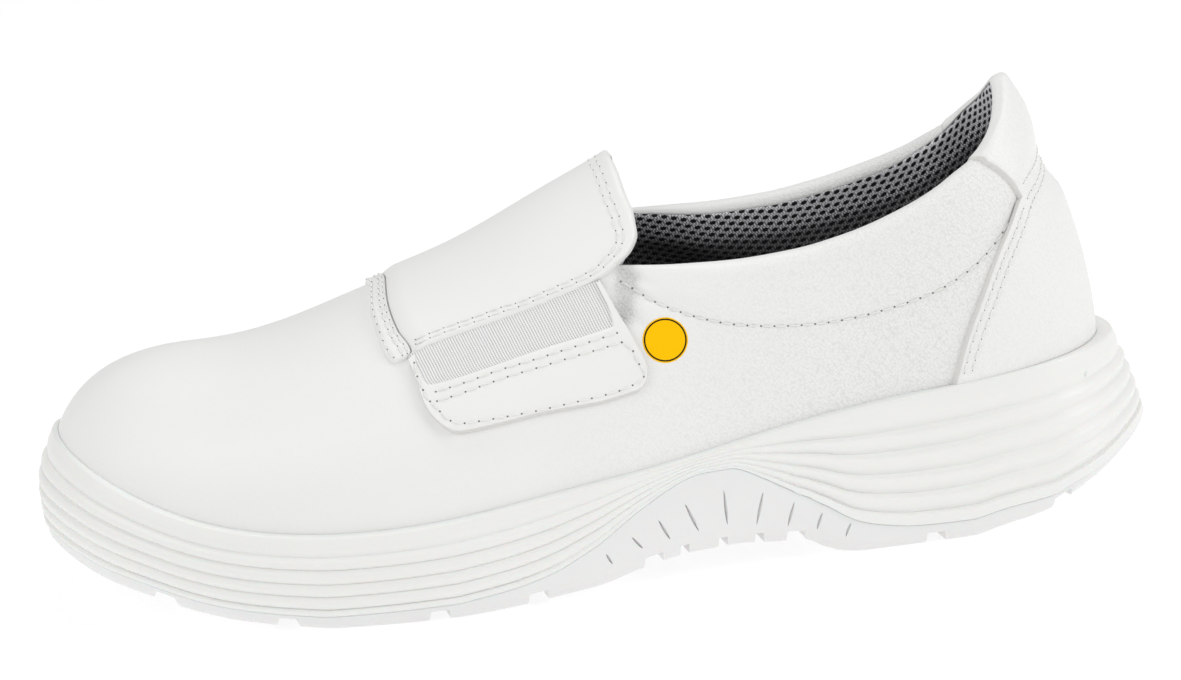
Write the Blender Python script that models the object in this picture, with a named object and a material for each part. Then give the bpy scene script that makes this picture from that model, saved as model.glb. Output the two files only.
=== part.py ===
# Low slip-on safety shoe for the left foot.
# Toe towards -X, heel towards +X, outer side of the foot at -Y, floor at z = 0, lengths in metres.
import math

import bmesh
import bpy
import numpy as np

# whole shoe
SHOE_LENGTH = 0.300
SHOE_WIDTH = 0.1095
SHOE_HEIGHT = 0.118

# sole
SOLE_HEIGHT = 0.0440
SOLE_FLARE = 0.0055
RIM_RISE = 0.0009
TOE_SPRING = 0.0184
ARCH_RISE = 0.0073
HEEL_BEVEL = 0.0182
SEAT_HEEL = 0.0280
SEAT_BALL = 0.0150
RIB_DEPTH = 0.0008
EDGE_ROUND = 0.0012

# outsole
PLATE = 0.0046
PLATE_STEP = 0.0008
OUTSOLE_EDGE = 0.0037
WING_RISE = 0.0170
WING_WALL = 0.0022
TREAD_DEPTH = 0.0029
GROOVE_WIDTH = 0.0062
NOTCH_WIDTH = 0.0030
GROOVE_BOW = 0.0040
CHANNEL_WIDTH = 0.0050
SLIT_WIDTH = 0.0014
SLIT_DEPTH = 0.0012

# upper
WALL = 0.0025
COLLAR_PAD = 0.0070
PAD_SWELL = 0.0010
HEEL_HOLLOW = 0.0022
FOOT_INSET = 0.0020
INSOLE = 0.0040

# pieces laid on the upper
FLAP = 0.0018
HEM = 0.0009
GORE = 0.0008
PATCH = 0.0014
COUNTER = 0.0012
TAB = 0.0012
EDGE_SOFT = 0.0008
TAB_TURN = 0.0035

# clearance between neighbouring pieces, and under the pieces laid on the upper
GAP = 0.0003
LAID_GAP = 0.00045


def table(columns, rows):
    return dict(zip(columns.split(), np.array(rows, float).T))


# Sections of the last, toe to heel. along, top_along: shares of the length. lateral, medial, top_across:
# shares of the width. rise: share of the sole height. top_rise: share of the shoe height.
# lean: degrees. foot_pull, top_pull: how far the wall keeps its direction at its two ends.
LAST = table(
    "along lateral medial rise top_along top_across top_rise lean foot_pull top_pull", [
        (-0.478, 0.055, 0.055, 1.055, -0.350, 0.059, 0.556, -28, 0.235, 0.56),
        (-0.472, -0.068, 0.173, 1.030, -0.349, 0.059, 0.556, -26, 0.25, 0.54),
        (-0.450, -0.178, 0.265, 0.930, -0.343, 0.059, 0.556, -20, 0.29, 0.50),
        (-0.413, -0.269, 0.333, 0.795, -0.330, 0.059, 0.556, -13, 0.34, 0.46),
        (-0.360, -0.352, 0.384, 0.659, -0.303, 0.057, 0.560, -7, 0.38, 0.43),
        (-0.293, -0.416, 0.416, 0.575, -0.257, 0.055, 0.583, -2, 0.40, 0.41),
        (-0.207, -0.457, 0.434, 0.552, -0.183, 0.050, 0.643, 0, 0.38, 0.38),
        (-0.120, -0.461, 0.411, 0.591, -0.103, 0.046, 0.711, 0, 0.36, 0.34),
        (-0.040, -0.434, 0.365, 0.652, -0.030, 0.037, 0.799, -2, 0.36, 0.31),
        (0.040, -0.397, 0.324, 0.705, 0.037, 0.027, 0.881, -2, 0.38, 0.29),
        (0.127, -0.356, 0.301, 0.795, 0.100, 0.018, 0.979, 0, 0.42, 0.28),
        (0.213, -0.329, 0.301, 0.877, 0.153, 0.011, 1.068, 1, 0.45, 0.27),
        (0.293, -0.315, 0.310, 0.932, 0.200, 0.005, 1.127, 2, 0.45, 0.26),
        (0.360, -0.292, 0.297, 0.968, 0.237, 0.003, 1.157, 1, 0.43, 0.24),
        (0.413, -0.233, 0.242, 0.995, 0.267, 0.001, 1.167, 0, 0.41, 0.22),
        (0.441, -0.137, 0.146, 0.991, 0.287, 0.000, 1.170, -1, 0.40, 0.21),
        (0.456, 0.000, 0.000, 0.989, 0.300, 0.000, 1.170, -1, 0.39, 0.206),
    ])

# Sole wall at the same sections. lateral, medial: shares of the flare. rim: share of the local flare that
# the rim has at the feather line. fullest: depth of the widest level, as a share of the wall.
SOLE = table(
    "lateral medial rim fullest", [
        (1.18, 1.18, 0.16, 0.52),
        (1.15, 1.15, 0.17, 0.52),
        (1.09, 1.09, 0.22, 0.54),
        (1.00, 1.00, 0.30, 0.58),
        (0.91, 0.95, 0.37, 0.62),
        (0.91, 0.95, 0.40, 0.64),
        (1.00, 1.00, 0.40, 0.64),
        (1.03, 0.96, 0.40, 0.64),
        (0.96, 0.87, 0.40, 0.64),
        (0.91, 0.82, 0.40, 0.64),
        (0.85, 0.80, 0.40, 0.64),
        (0.87, 0.82, 0.40, 0.66),
        (0.96, 0.90, 0.40, 0.70),
        (1.09, 1.00, 0.40, 0.76),
        (1.55, 1.50, 0.40, 0.84),
        (2.02, 2.00, 0.42, 0.92),
        (2.31, 2.31, 0.43, 0.95),
    ])

# Tread line along the length: lift at the toe, at the arch and behind the heel.
TOE_LIFT = [(-0.500, 1.03), (-0.492, 1.0), (-0.474, 0.885), (-0.448, 0.70), (-0.410, 0.50),
            (-0.369, 0.288), (-0.335, 0.163), (-0.283, 0.05), (-0.250, 0.0), (0.0, 0.0)]
ARCH_LIFT = [(-0.143, 0.0), (-0.090, 0.12), (-0.065, 0.20), (-0.020, 0.35), (0.020, 0.72),
             (0.070, 1.0), (0.107, 1.0), (0.143, 0.83), (0.168, 0.76), (0.182, 0.42),
             (0.200, 0.12), (0.222, 0.0), (0.300, 0.0)]
BACK_LIFT = [(0.0, 0.0), (0.317, 0.0), (0.341, 0.08), (0.393, 0.25), (0.410, 0.385),
             (0.431, 0.55), (0.455, 0.735), (0.476, 0.89), (0.495, 1.0), (0.505, 1.02)]
# Side line between outsole and midsole, above the tread line.
EDGE_LINE = [(-0.50, 0.95), (-0.30, 0.95), (-0.20, 1.05), (-0.12, 1.15), (0.0, 1.15), (0.20, 1.35),
             (0.30, 1.40), (0.36, 1.30), (0.41, 0.85), (0.445, 0.50), (0.50, 0.42)]
WING_LINE = [(-0.145, 0.0), (-0.100, 0.06), (-0.060, 0.17), (-0.037, 0.31), (0.011, 0.63),
             (0.048, 0.84), (0.083, 0.97), (0.105, 0.965), (0.135, 0.78), (0.158, 0.53),
             (0.190, 0.42), (0.211, 0.26), (0.238, 0.11), (0.270, 0.02), (0.300, 0.0)]
# Seat of the foot, between the height at the ball and the height at the heel.
SEAT_LINE = [(-0.480, 0.74), (-0.430, 0.42), (-0.367, 0.16), (-0.300, 0.03), (-0.220, 0.0),
             (-0.110, 0.14), (0.0, 0.45), (0.100, 0.76), (0.200, 0.95), (0.300, 1.0), (0.480, 1.04)]
# Ribs of the side wall, as shares of the wall between feather line and outsole.
RIB_LINES = (0.0, 0.24, 0.40, 0.58, 0.74, 0.91, 1.0)
RIB_FORM = ((0.0, 0.0), (0.45, 1.0))
RIM_BAND_SHARE = 0.12

# Height of the collar along the length, and how much higher it stands on the inner side of the foot.
COLLAR_LINE = [(-0.067, 0.725), (0.033, 0.702), (0.083, 0.693), (0.133, 0.689), (0.183, 0.695),
               (0.233, 0.717), (0.283, 0.756), (0.317, 0.791), (0.335, 0.815), (0.358, 0.848),
               (0.369, 0.876), (0.378, 0.902), (0.384, 0.925), (0.389, 0.958), (0.396, 1.022), (0.420, 1.090)]
MEDIAL_LIFT = [(0.0, 0.025), (0.200, 0.018), (0.250, 0.012), (0.290, 0.004), (0.320, 0.0), (0.400, 0.0)]

# Grooves across the tread and notches at the waist, as shares of the length.
GROOVES = (-0.395, -0.292, -0.161, -0.074, 0.031, 0.160, 0.285, 0.402)
NOTCHES = (0.059, 0.094, 0.127)
# Channels along the middle of the tread, as stretches of the parameter round the foot.
CHANNELS = ((0.10, 0.44), (0.72, 0.90))

# Parameter around the foot: 0 at the toe, 1 at the heel; 0 to 1 is the outer side, 1 to 2 the inner.
THROAT = 0.545
FRONT = (0.0, 0.025, 0.052, 0.083, 0.12, 0.165, 0.215, 0.265, 0.315, 0.365, 0.415, 0.46, 0.505, THROAT)
REAR = (0.572, 0.598, 0.622, 0.646, 0.670, 0.696, 0.726, 0.762, 0.798, 0.828, 0.852, 0.874, 0.893,
        0.912, 0.935, 0.957, 0.979, 1.0)


def curve(points):
    x, y = np.array(points, float).T
    run = np.diff(x)
    slope = np.diff(y) / run
    tangent = np.zeros_like(y)
    tangent[0], tangent[-1] = slope[0], slope[-1]
    for i in range(1, len(x) - 1):
        if slope[i - 1] * slope[i] > 0:
            before, after = 2 * run[i] + run[i - 1], run[i] + 2 * run[i - 1]
            tangent[i] = (before + after) / (before / slope[i - 1] + after / slope[i])

    def at(value):
        v = np.clip(value, x[0], x[-1])
        i = np.clip(np.searchsorted(x, v, side="right") - 1, 0, len(run) - 1)
        h = run[i]
        a = (v - x[i]) / h
        return ((1 + 2 * a) * (1 - a) ** 2 * y[i] + a * (1 - a) ** 2 * h * tangent[i]
                + a * a * (3 - 2 * a) * y[i + 1] - a * a * (1 - a) * h * tangent[i + 1])
    return at


def closed_spline(knots, values, period=2.0):
    count = len(knots)
    run = np.diff(np.append(knots, knots[0] + period))
    slope = (np.roll(values, -1) - values) / run
    system = np.zeros((count, count))
    for i in range(count):
        before = (i - 1) % count
        system[i, before] += run[before]
        system[i, i] += 2 * (run[before] + run[i])
        system[i, (i + 1) % count] += run[i]
    bend = np.linalg.solve(system, 6 * (slope - np.roll(slope, 1)))

    def at(s):
        s = (np.asarray(s, float) - knots[0]) % period + knots[0]
        i = np.clip(np.searchsorted(knots, s, side="right") - 1, 0, count - 1)
        j = (i + 1) % count
        h = run[i]
        a = (knots[i] + h - s) / h
        c = 1 - a
        return a * values[i] + c * values[j] + ((a ** 3 - a) * bend[i] + (c ** 3 - c) * bend[j]) * h * h / 6
    return at


half_width = (LAST["medial"] - LAST["lateral"]) / 2 * SHOE_WIDTH
steps = np.hypot(np.diff(LAST["along"]) * SHOE_LENGTH, np.diff(half_width))
stations = np.append(0, np.cumsum(steps)) / steps.sum()
KNOTS = np.append(stations, 2 - stations[-2:0:-1])


def around(outer, inner=None):
    inner = outer if inner is None else inner
    return closed_spline(KNOTS, np.append(outer, inner[-2:0:-1]))


foot_x = around(LAST["along"] * SHOE_LENGTH)
foot_y = around(LAST["lateral"] * SHOE_WIDTH, LAST["medial"] * SHOE_WIDTH)
feather_z = around(LAST["rise"] * SOLE_HEIGHT)
top_x = around(LAST["top_along"] * SHOE_LENGTH)
top_y = around(LAST["top_across"] * SHOE_WIDTH)
top_z = around(LAST["top_rise"] * SHOE_HEIGHT)
lean_at = around(LAST["lean"])
foot_pull = around(LAST["foot_pull"])
top_pull = around(LAST["top_pull"])
flare = around(SOLE["lateral"] * SOLE_FLARE, SOLE["medial"] * SOLE_FLARE)
rim_share = around(SOLE["rim"])
fullest = around(SOLE["fullest"])

toe_lift, arch_lift, back_lift = curve(TOE_LIFT), curve(ARCH_LIFT), curve(BACK_LIFT)
edge_line, wing_line, seat_line = curve(EDGE_LINE), curve(WING_LINE), curve(SEAT_LINE)
collar_line, medial_lift = curve(COLLAR_LINE), curve(MEDIAL_LIFT)


def ease(value, low, high):
    a = np.clip((value - low) / (high - low), 0, 1)
    return a * a * (3 - 2 * a)


def tread_z(x):
    a = x / SHOE_LENGTH
    return TOE_SPRING * toe_lift(a) + ARCH_RISE * arch_lift(a) + HEEL_BEVEL * back_lift(a)


def edge_z(x):
    a = x / SHOE_LENGTH
    return tread_z(x) + OUTSOLE_EDGE * edge_line(a) + WING_RISE * wing_line(a)


def plate_z(x):
    return np.minimum(tread_z(x) + PLATE, edge_z(x))


def seat_z(x):
    return SEAT_BALL + (SEAT_HEEL - SEAT_BALL) * seat_line(x / SHOE_LENGTH)


def outward(s, step=1e-3):
    dx = foot_x(s + step) - foot_x(s - step)
    dy = foot_y(s + step) - foot_y(s - step)
    size = np.hypot(dx, dy)
    return dy / size, -dx / size


def plan(s, out, z):
    nx, ny = outward(s)
    return np.stack(np.broadcast_arrays(foot_x(s) + nx * out, foot_y(s) + ny * out, z), -1)


# Outer face of the upper: s goes round the foot, t goes up from the feather line to the crest.
def bare_skin(s, t):
    foot = np.stack([foot_x(s), foot_y(s), feather_z(s)], -1)
    crest = np.stack([top_x(s), top_y(s), top_z(s)], -1)
    nx, ny = outward(s)
    lean = np.radians(lean_at(s))
    rising = np.stack([nx * np.sin(lean), ny * np.sin(lean), np.cos(lean)], -1)
    level = foot - crest
    level[..., 2] = 0
    level /= np.linalg.norm(level, axis=-1)[..., None]
    u = np.clip(1 - np.abs(1 - s % 2), 0.03, 0.97)
    step = 1e-3
    fall = (top_z(u + step) - top_z(u - step)) / (top_x(u + step) - top_x(u - step))
    level[..., 2] = fall * level[..., 0]
    reach = np.linalg.norm(crest - foot, axis=-1)
    low = foot + rising * (foot_pull(s) * reach)[..., None]
    high = crest + level * (top_pull(s) * reach)[..., None]
    t = t[..., None]
    return (1 - t) ** 3 * foot + 3 * t * (1 - t) ** 2 * low + 3 * t * t * (1 - t) * high + t ** 3 * crest


def skin_frame(s, t, step=2e-3):
    t = np.clip(t, 0, 0.985)
    along = bare_skin(s + step, t) - bare_skin(s - step, t)
    up = bare_skin(s, t + step) - bare_skin(s, t - step)
    normal = np.cross(along, up)
    normal /= np.linalg.norm(normal, axis=-1)[..., None]
    up /= np.linalg.norm(up, axis=-1)[..., None]
    return normal, up


# The padding of the collar ends in front of the heel tab.
def pad_thickness(s):
    u = 1 - np.abs(1 - s % 2)
    return WALL + (COLLAR_PAD - WALL) * ease(u, THROAT, THROAT + 0.10) * (1 - ease(u, 0.85, 0.91))


# Level of the collar's edge, as t, found at even places round the foot and then read between them.
COLLAR_PLACES = 61


def find_collar():
    u = np.linspace(THROAT, 1.0, COLLAR_PLACES)
    levels = []
    for s in np.append(u, 2 - u[-2::-1]):
        low, high = 0.05, 0.95
        lift = medial_lift if s > 1 else lambda a: 0.0
        for _ in range(30):
            mid = (low + high) / 2
            x, _, z = bare_skin(np.array(s), np.array(mid))
            a = x / SHOE_LENGTH
            top = SHOE_HEIGHT * (collar_line(a) + lift(a)) - pad_thickness(s) / 2
            low, high = (mid, high) if z < top else (low, mid)
        levels.append(low)
    outer, inner = levels[:COLLAR_PLACES], levels[COLLAR_PLACES - 1:][::-1]
    return np.array([u, outer]), np.array([u, inner])


COLLAR_OUTER, COLLAR_INNER = find_collar()


def collar_t(s):
    s = np.asarray(s, float) % 2
    u = 1 - np.abs(1 - s)
    outer, inner = np.interp(u, *COLLAR_OUTER), np.interp(u, *COLLAR_INNER)
    return np.where(s > 1, inner, outer)


# Lower limit of the collar's padding, as a share of the wall below the collar's edge.
PAD_LINE = curve([(0.0, 0.95), (0.537, 0.95), (0.573, 0.83), (0.611, 0.74), (0.650, 0.67), (0.690, 0.61),
                  (0.745, 0.56), (0.794, 0.55), (0.840, 0.59), (0.880, 0.67), (0.940, 0.75), (1.0, 0.78)])


# Level of the soft hollow in the heel tab, just above the counter.
HOLLOW_SHARE = 0.67


def swell(s, t):
    u = 1 - np.abs(1 - s % 2)
    share = t / collar_t(s)
    pad = ease(u, THROAT, THROAT + 0.08) * ease(share, PAD_LINE(u), PAD_LINE(u) + 0.12)
    hollow = ease(u, 0.90, 1.0) * (1 - ease(abs(share - HOLLOW_SHARE), 0.02, 0.15))
    return PAD_SWELL * pad - HEEL_HOLLOW * hollow


def skin(s, t, lift=0.0):
    s, t, lift = np.broadcast_arrays(np.asarray(s, float), np.asarray(t, float), np.asarray(lift, float))
    normal, _ = skin_frame(s, t)
    return bare_skin(s, t) + normal * (lift + swell(s, t))[..., None]


def thickness(s, t):
    u = 1 - np.abs(1 - s % 2)
    share = t / collar_t(s)
    return WALL + (pad_thickness(s) - WALL) * ease(share, PAD_LINE(u) - 0.12, PAD_LINE(u) + 0.14)


# Round edge of the collar: turn 0 is on the outer face, half a turn on the inner face.
def collar_edge(s, turn, lift=0.0):
    s = np.asarray(s, float)
    t = collar_t(s)
    normal, up = skin_frame(s, t)
    radius = (thickness(s, t) + swell(s, t))[..., None] / 2
    centre = skin(s, t) - normal * radius
    return centre + (radius + lift) * (math.cos(turn) * normal + math.sin(turn) * up)


class Shape:
    def __init__(self):
        self.points, self.faces = [], []

    def add(self, points):
        points = np.asarray(points, float).reshape(-1, 3)
        first = len(self.points)
        self.points.extend(points.tolist())
        return list(range(first, first + len(points)))

    def face(self, ids):
        clean = [a for a, b in zip(ids, ids[1:] + ids[:1]) if a != b]
        if len(clean) > 2:
            self.faces.append(clean)

    def strip(self, one, two, closed=False):
        count = len(one)
        for i in range(count if closed else count - 1):
            j = (i + 1) % count
            self.face([one[i], one[j], two[j], two[i]])

    def ladder(self, ring, rungs):
        # ring runs from the toe along the outer side to the heel and back; rungs fill it from side to side
        half = len(ring) // 2
        rows = [[ring[0]]] + [[ring[i]] + rungs[i] + [ring[-i]] for i in range(1, half)] + [[ring[half]]]
        for one, two in zip(rows, rows[1:]):
            if len(one) == 1 or len(two) == 1:
                tip, row = (one[0], two) if len(one) == 1 else (two[0], one)
                for a, b in zip(row, row[1:]):
                    self.face([tip, a, b])
            else:
                self.strip(one, two)

    def build(self, name, material, smooth=35):
        mesh = bpy.data.meshes.new(name)
        mesh.from_pydata(self.points, [], self.faces)
        work = bmesh.new()
        work.from_mesh(mesh)
        bmesh.ops.recalc_face_normals(work, faces=work.faces)
        work.to_mesh(mesh)
        work.free()
        mesh.materials.append(material)
        mesh.shade_smooth()
        mesh.set_sharp_from_angle(angle=math.radians(smooth))
        item = bpy.data.objects.new(name, mesh)
        item.location = ORIGIN
        bpy.context.collection.objects.link(item)
        return item


COLUMNS = np.array(FRONT + REAR)
RING = np.append(COLUMNS, 2 - COLUMNS[-2:0:-1])


def find_origin():
    edge = plan(RING, flare(RING), 0.0)
    middle = (edge.max(axis=0) + edge.min(axis=0)) / 2
    return (-middle[0], -middle[1], 0.0)


ORIGIN = find_origin()


def paint(name, colour, roughness):
    material = bpy.data.materials.new(name)
    material.use_nodes = True
    shader = material.node_tree.nodes["Principled BSDF"]
    shader.inputs["Base Color"].default_value = (*colour, 1.0)
    shader.inputs["Roughness"].default_value = roughness
    return material


# Rows of points across the sole, as shares of its width.
TREAD_RUNGS = (0.25, 0.5, 0.75)
SEAT_RUNGS = (0.33, 0.67)


def rungs_between(shape, ring_points, height, shares):
    # rows of points from side to side of a ring, set to a height that follows x
    half = len(ring_points) // 2
    rungs = [[]]
    for i in range(1, half):
        one, two = ring_points[i], ring_points[-i]
        row = []
        for share in shares:
            x, y, _ = one + (two - one) * share
            row.append(shape.add([(x, y, height(x))])[0])
        rungs.append(row)
    return rungs


# Plan distance of the side wall outside the feather line at a height.
def wall_out(s, z):
    top = feather_z(s)
    base = tread_z(foot_x(s))
    wide = top - fullest(s) * (top - base)
    rim = rim_share(s) * flare(s)
    down = np.clip((top - z) / (top - wide), 0, 1)
    tuck = np.clip((wide - z) / np.maximum(wide - base, 0.001), 0, 1)
    return rim + (flare(s) - rim) * np.sin(down * math.pi / 2) - EDGE_ROUND * tuck ** 2


def side_x(s):
    nx, _ = outward(s)
    return foot_x(s) + nx * flare(s)


def side_y(s):
    _, ny = outward(s)
    return foot_y(s) + ny * flare(s)


def rib_height(s):
    wall = feather_z(s) - edge_z(side_x(s))
    return RIB_DEPTH * np.clip(wall / (0.5 * SOLE_HEIGHT), 0.25, 1)


def build_midsole():
    shape = Shape()
    s = RING
    top, low = feather_z(s), edge_z(side_x(s)) + GAP
    rows = [plan(s, GAP, top), plan(s, GAP + 0.55 * rim_share(s) * flare(s), top + RIM_RISE)]
    for start, end in zip(RIB_LINES, RIB_LINES[1:]):
        for place, relief in RIB_FORM:
            if start == 0.0 and place == 0.0:
                place = RIM_BAND_SHARE
            share = start + (end - start) * place
            z = top + (low - top) * share
            rows.append(plan(s, wall_out(s, z) + (relief - 0.5) * rib_height(s), z))
    rows.append(plan(s, wall_out(s, low), low))
    rows.append(plan(s, wall_out(s, low) - WING_WALL - GAP, low))
    under = plan(s, wall_out(s, low) - WING_WALL - PLATE_STEP - GAP, 0.0)
    under[:, 2] = np.minimum(plate_z(under[:, 0]) + GAP, low)
    rows.append(under)
    rings = [shape.add(row) for row in rows]
    for one, two in zip(rings, rings[1:]):
        shape.strip(one, two, closed=True)
    shape.ladder(rings[-1], rungs_between(shape, under, lambda x: plate_z(x) + GAP, TREAD_RUNGS))
    seat = plan(s, GAP - FOOT_INSET, 0.0)
    seat[:, 2] = seat_z(seat[:, 0])
    seat_ring = shape.add(seat)
    shape.strip(rings[0], seat_ring, closed=True)
    shape.ladder(seat_ring, rungs_between(shape, seat, seat_z, SEAT_RUNGS))
    return shape.build("midsole", paint("Foamed polyurethane", (0.80, 0.81, 0.80), 0.55))


def build_outsole():
    shape = Shape()
    s = RING
    top = edge_z(side_x(s))
    base = tread_z(side_x(s))
    soft = np.minimum(EDGE_ROUND, 0.45 * (top - base))
    middle = (top + base + soft) / 2
    rows = [plan(s, wall_out(s, z), z) for z in (top, middle, base + soft)]
    under = plan(s, wall_out(s, base) - soft, 0.0)
    under[:, 2] = tread_z(under[:, 0])
    rows.append(under)
    rings = [shape.add(row) for row in rows]
    for one, two in zip(rings, rings[1:]):
        shape.strip(one, two, closed=True)
    shape.ladder(rings[-1], rungs_between(shape, under, tread_z, TREAD_RUNGS))
    wing = shape.add(plan(s, wall_out(s, top) - WING_WALL, top))
    plate = plan(s, wall_out(s, top) - WING_WALL - PLATE_STEP, 0.0)
    plate[:, 2] = np.minimum(plate_z(plate[:, 0]), top)
    plate_ring = shape.add(plate)
    shape.strip(rings[0], wing, closed=True)
    shape.strip(wing, plate_ring, closed=True)
    shape.ladder(plate_ring, rungs_between(shape, plate, plate_z, TREAD_RUNGS))
    return shape.build("outsole", paint("Compact polyurethane", (0.74, 0.76, 0.75), 0.42))


def build_insole():
    shape = Shape()
    s = RING
    low = plan(s, -FOOT_INSET - WALL - GAP, 0.0)
    low[:, 2] = seat_z(low[:, 0]) + GAP
    high = low + np.array([0, 0, INSOLE])
    low_ring, high_ring = shape.add(low), shape.add(high)
    shape.strip(low_ring, high_ring, closed=True)
    shape.ladder(low_ring, rungs_between(shape, low, lambda x: seat_z(x) + GAP, SEAT_RUNGS))
    shape.ladder(high_ring, rungs_between(shape, high, lambda x: seat_z(x) + GAP + INSOLE, SEAT_RUNGS))
    return shape.build("insole", paint("Insole textile", (0.30, 0.31, 0.31), 0.9))


# Rear edge of the vamp over the instep: how far it runs back, against its place from collar to crest.
THROAT_LINE = curve([(0.0, 0.0), (0.12, 0.010), (0.30, 0.017), (0.50, 0.015), (0.80, 0.012), (1.0, 0.010)])
LOW_ROWS = (0.0, 0.22, 0.42, 0.57, 0.66, 0.74, 0.80, 0.88, 1.0)
HIGH_ROWS = (0.12, 0.30, 0.50, 0.75, 1.0)


def upper_grid():
    # rows of (s, t), feather line first; the high rows exist for the front columns only
    low = [(RING, collar_t(RING) * share) for share in LOW_ROWS]
    front = np.array([s for s in RING if 1 - abs(1 - s) <= THROAT + 1e-6])
    high = []
    for share in HIGH_ROWS:
        u = 1 - np.abs(1 - front)
        back = THROAT_LINE(share) * ease(u, 0.30, THROAT)
        s = np.where(front > 1, 2 - (u + back), u + back)
        start = collar_t(front)
        high.append((s, start + (1 - start) * share))
    return low, high, front


def build_upper():
    shape = Shape()
    low, high, front = upper_grid()
    count = len(FRONT)
    faces = {}
    for side in ("outer", "inner"):
        rings = []
        base = plan(RING, -FOOT_INSET - (WALL if side == "inner" else 0.0), 0.0)
        base[:, 2] = seat_z(base[:, 0]) + GAP
        rings.append(shape.add(base))
        for s, t in low:
            points = skin(s, t)
            if side == "inner":
                normal, _ = skin_frame(s, t)
                points = points - normal * (thickness(s, t) + swell(s, t))[:, None]
                if t.max() == 0:
                    points = plan(s, -WALL, feather_z(s))
            rings.append(shape.add(points))
        for one, two in zip(rings, rings[1:]):
            shape.strip(one, two, closed=True)
        lateral = [rings[-1][:count]]
        medial = [[rings[-1][0]] + rings[-1][:-count:-1]]
        for k, (s, t) in enumerate(high):
            points = skin(s, t)
            if side == "inner":
                normal, _ = skin_frame(s, t)
                points = points - normal * thickness(s, t)[:, None]
            out, inn = points[:count], np.vstack([points[:1], points[:-count:-1]])
            if k == len(high) - 1:
                ids = shape.add((out + inn) / 2)
                lateral.append(ids)
                medial.append(ids)
            else:
                ids = shape.add(out)
                lateral.append(ids)
                medial.append([ids[0]] + shape.add(inn[1:]))
        for rows in (lateral, medial):
            for one, two in zip(rows, rows[1:]):
                shape.strip(one, two)
        faces[side] = (rings, lateral, medial)
    outer, inner = faces["outer"], faces["inner"]
    shape.strip(outer[0][0], inner[0][0], closed=True)
    rear = [i for i, s in enumerate(RING) if 1 - abs(1 - s) >= THROAT - 1e-6]
    across = [[outer[0][-1][i] for i in rear]]
    for turn in (0.25, 0.5, 0.75):
        across.append(shape.add(collar_edge(RING[rear], turn * math.pi)))
    across.append([inner[0][-1][i] for i in rear])
    for one, two in zip(across, across[1:]):
        shape.strip(one, two)
    for number, end in ((1, 0), (2, -1)):
        out = [row[-1] for row in outer[number]]
        inn = [row[-1] for row in inner[number]]
        shape.face([out[0], out[1], inn[1], inn[0]] + [row[end] for row in across[3:0:-1]])
        shape.strip(out[1:], inn[1:])
    return shape.build("upper", paint("White leather", (0.83, 0.83, 0.81), 0.5))


# Level on the upper: 0 at the feather line, 1 at the collar's edge, 2 at the crest.
def level_t(s, level):
    edge = collar_t(s)
    return np.where(level <= 1, level * edge, edge + (level - 1) * (1 - edge))


def lay(s, level, lift):
    s, level, lift = np.broadcast_arrays(np.asarray(s, float), np.asarray(level, float), lift)
    crest = level > 1.999
    points = skin(s, level_t(s, level), lift)
    across = skin(2 - s, level_t(2 - s, level), lift)
    return np.where(crest[..., None], (points + across) / 2, points)


def inside(s, level, lift):
    t = level_t(s, level)
    normal, _ = skin_frame(s, t)
    return bare_skin(s, t) - normal * (thickness(s, t) + lift)[..., None]


# Smooth line through points of the upper, read from 0 at its first point to 1 at its last.
def trace(points):
    points = np.array(points, float)
    girth = np.array([GIRTH_SHARE, 1.0])
    run = np.append(0, np.cumsum(np.linalg.norm(np.diff(points * girth, axis=0), axis=1)))
    run /= run[-1]
    first, second = (curve(np.column_stack([run, points[:, k]])) for k in (0, 1))
    return lambda share: np.stack([first(share), second(share)], -1)


def fill(low, high, front, rear, a, b):
    a, b = (v[..., None] for v in np.meshgrid(a, b))
    blend = (1 - b) * low(a[..., 0]) + b * high(a[..., 0]) + (1 - a) * front(b[..., 0]) + a * rear(b[..., 0])
    corners = ((1 - a) * (1 - b) * low(0.0) + a * (1 - b) * low(1.0)
               + (1 - a) * b * high(0.0) + a * b * high(1.0))
    return blend - corners


def spaced(count, soft, both=True):
    # places along an edge, with one close to each soft end
    inner = np.linspace(soft, 1 - soft if both else 1.0, count)
    return np.append(np.append(0.0, inner), 1.0) if both else np.append(0.0, inner)


def other_side(grid):
    return np.stack([2 - grid[..., 0], grid[..., 1]], -1)


def close_sheet(name, top, under, material):
    shape = Shape()
    rows, columns = top.shape[:2]
    faces = [np.array(shape.add(points)).reshape(rows, columns) for points in (top, under)]
    for ids in faces:
        for one, two in zip(ids.tolist(), ids[1:].tolist()):
            shape.strip(one, two)
    borders = [np.concatenate([ids[0], ids[1:, -1], ids[-1, -2::-1], ids[-2:0:-1, 0]]) for ids in faces]
    shape.strip(*(border.tolist() for border in borders), closed=True)
    return shape.build(name, material)


def build_sheet(name, grid, thick, material):
    edge = np.zeros(grid.shape[:2], bool)
    edge[[0, -1]] = edge[:, [0, -1]] = True
    lift = LAID_GAP + thick - np.where(edge, min(EDGE_SOFT, 0.5 * thick), 0.0)
    s, level = grid[..., 0], grid[..., 1]
    return close_sheet(name, lay(s, level, lift), lay(s, level, np.full(s.shape, LAID_GAP)), material)


# Outlines on the upper, front to rear or low to high: place round the foot, level.
FLAP_LOW = [(0.358, 1.004), (0.376, 1.030), (0.393, 1.036), (0.431, 1.017), (0.469, 0.989), (0.520, 0.979),
            (0.535, 0.991), (0.548, 1.028)]
FLAP_REAR = [(0.548, 1.028), (0.560, 1.110), (0.567, 1.210), (0.567, 1.320), (0.563, 1.500), (0.560, 1.800),
             (0.558, 2.0)]
FLAP_FRONT = [(0.358, 1.004), (0.362, 1.030), (0.351, 1.250), (0.342, 1.565), (0.337, 2.0)]
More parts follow.
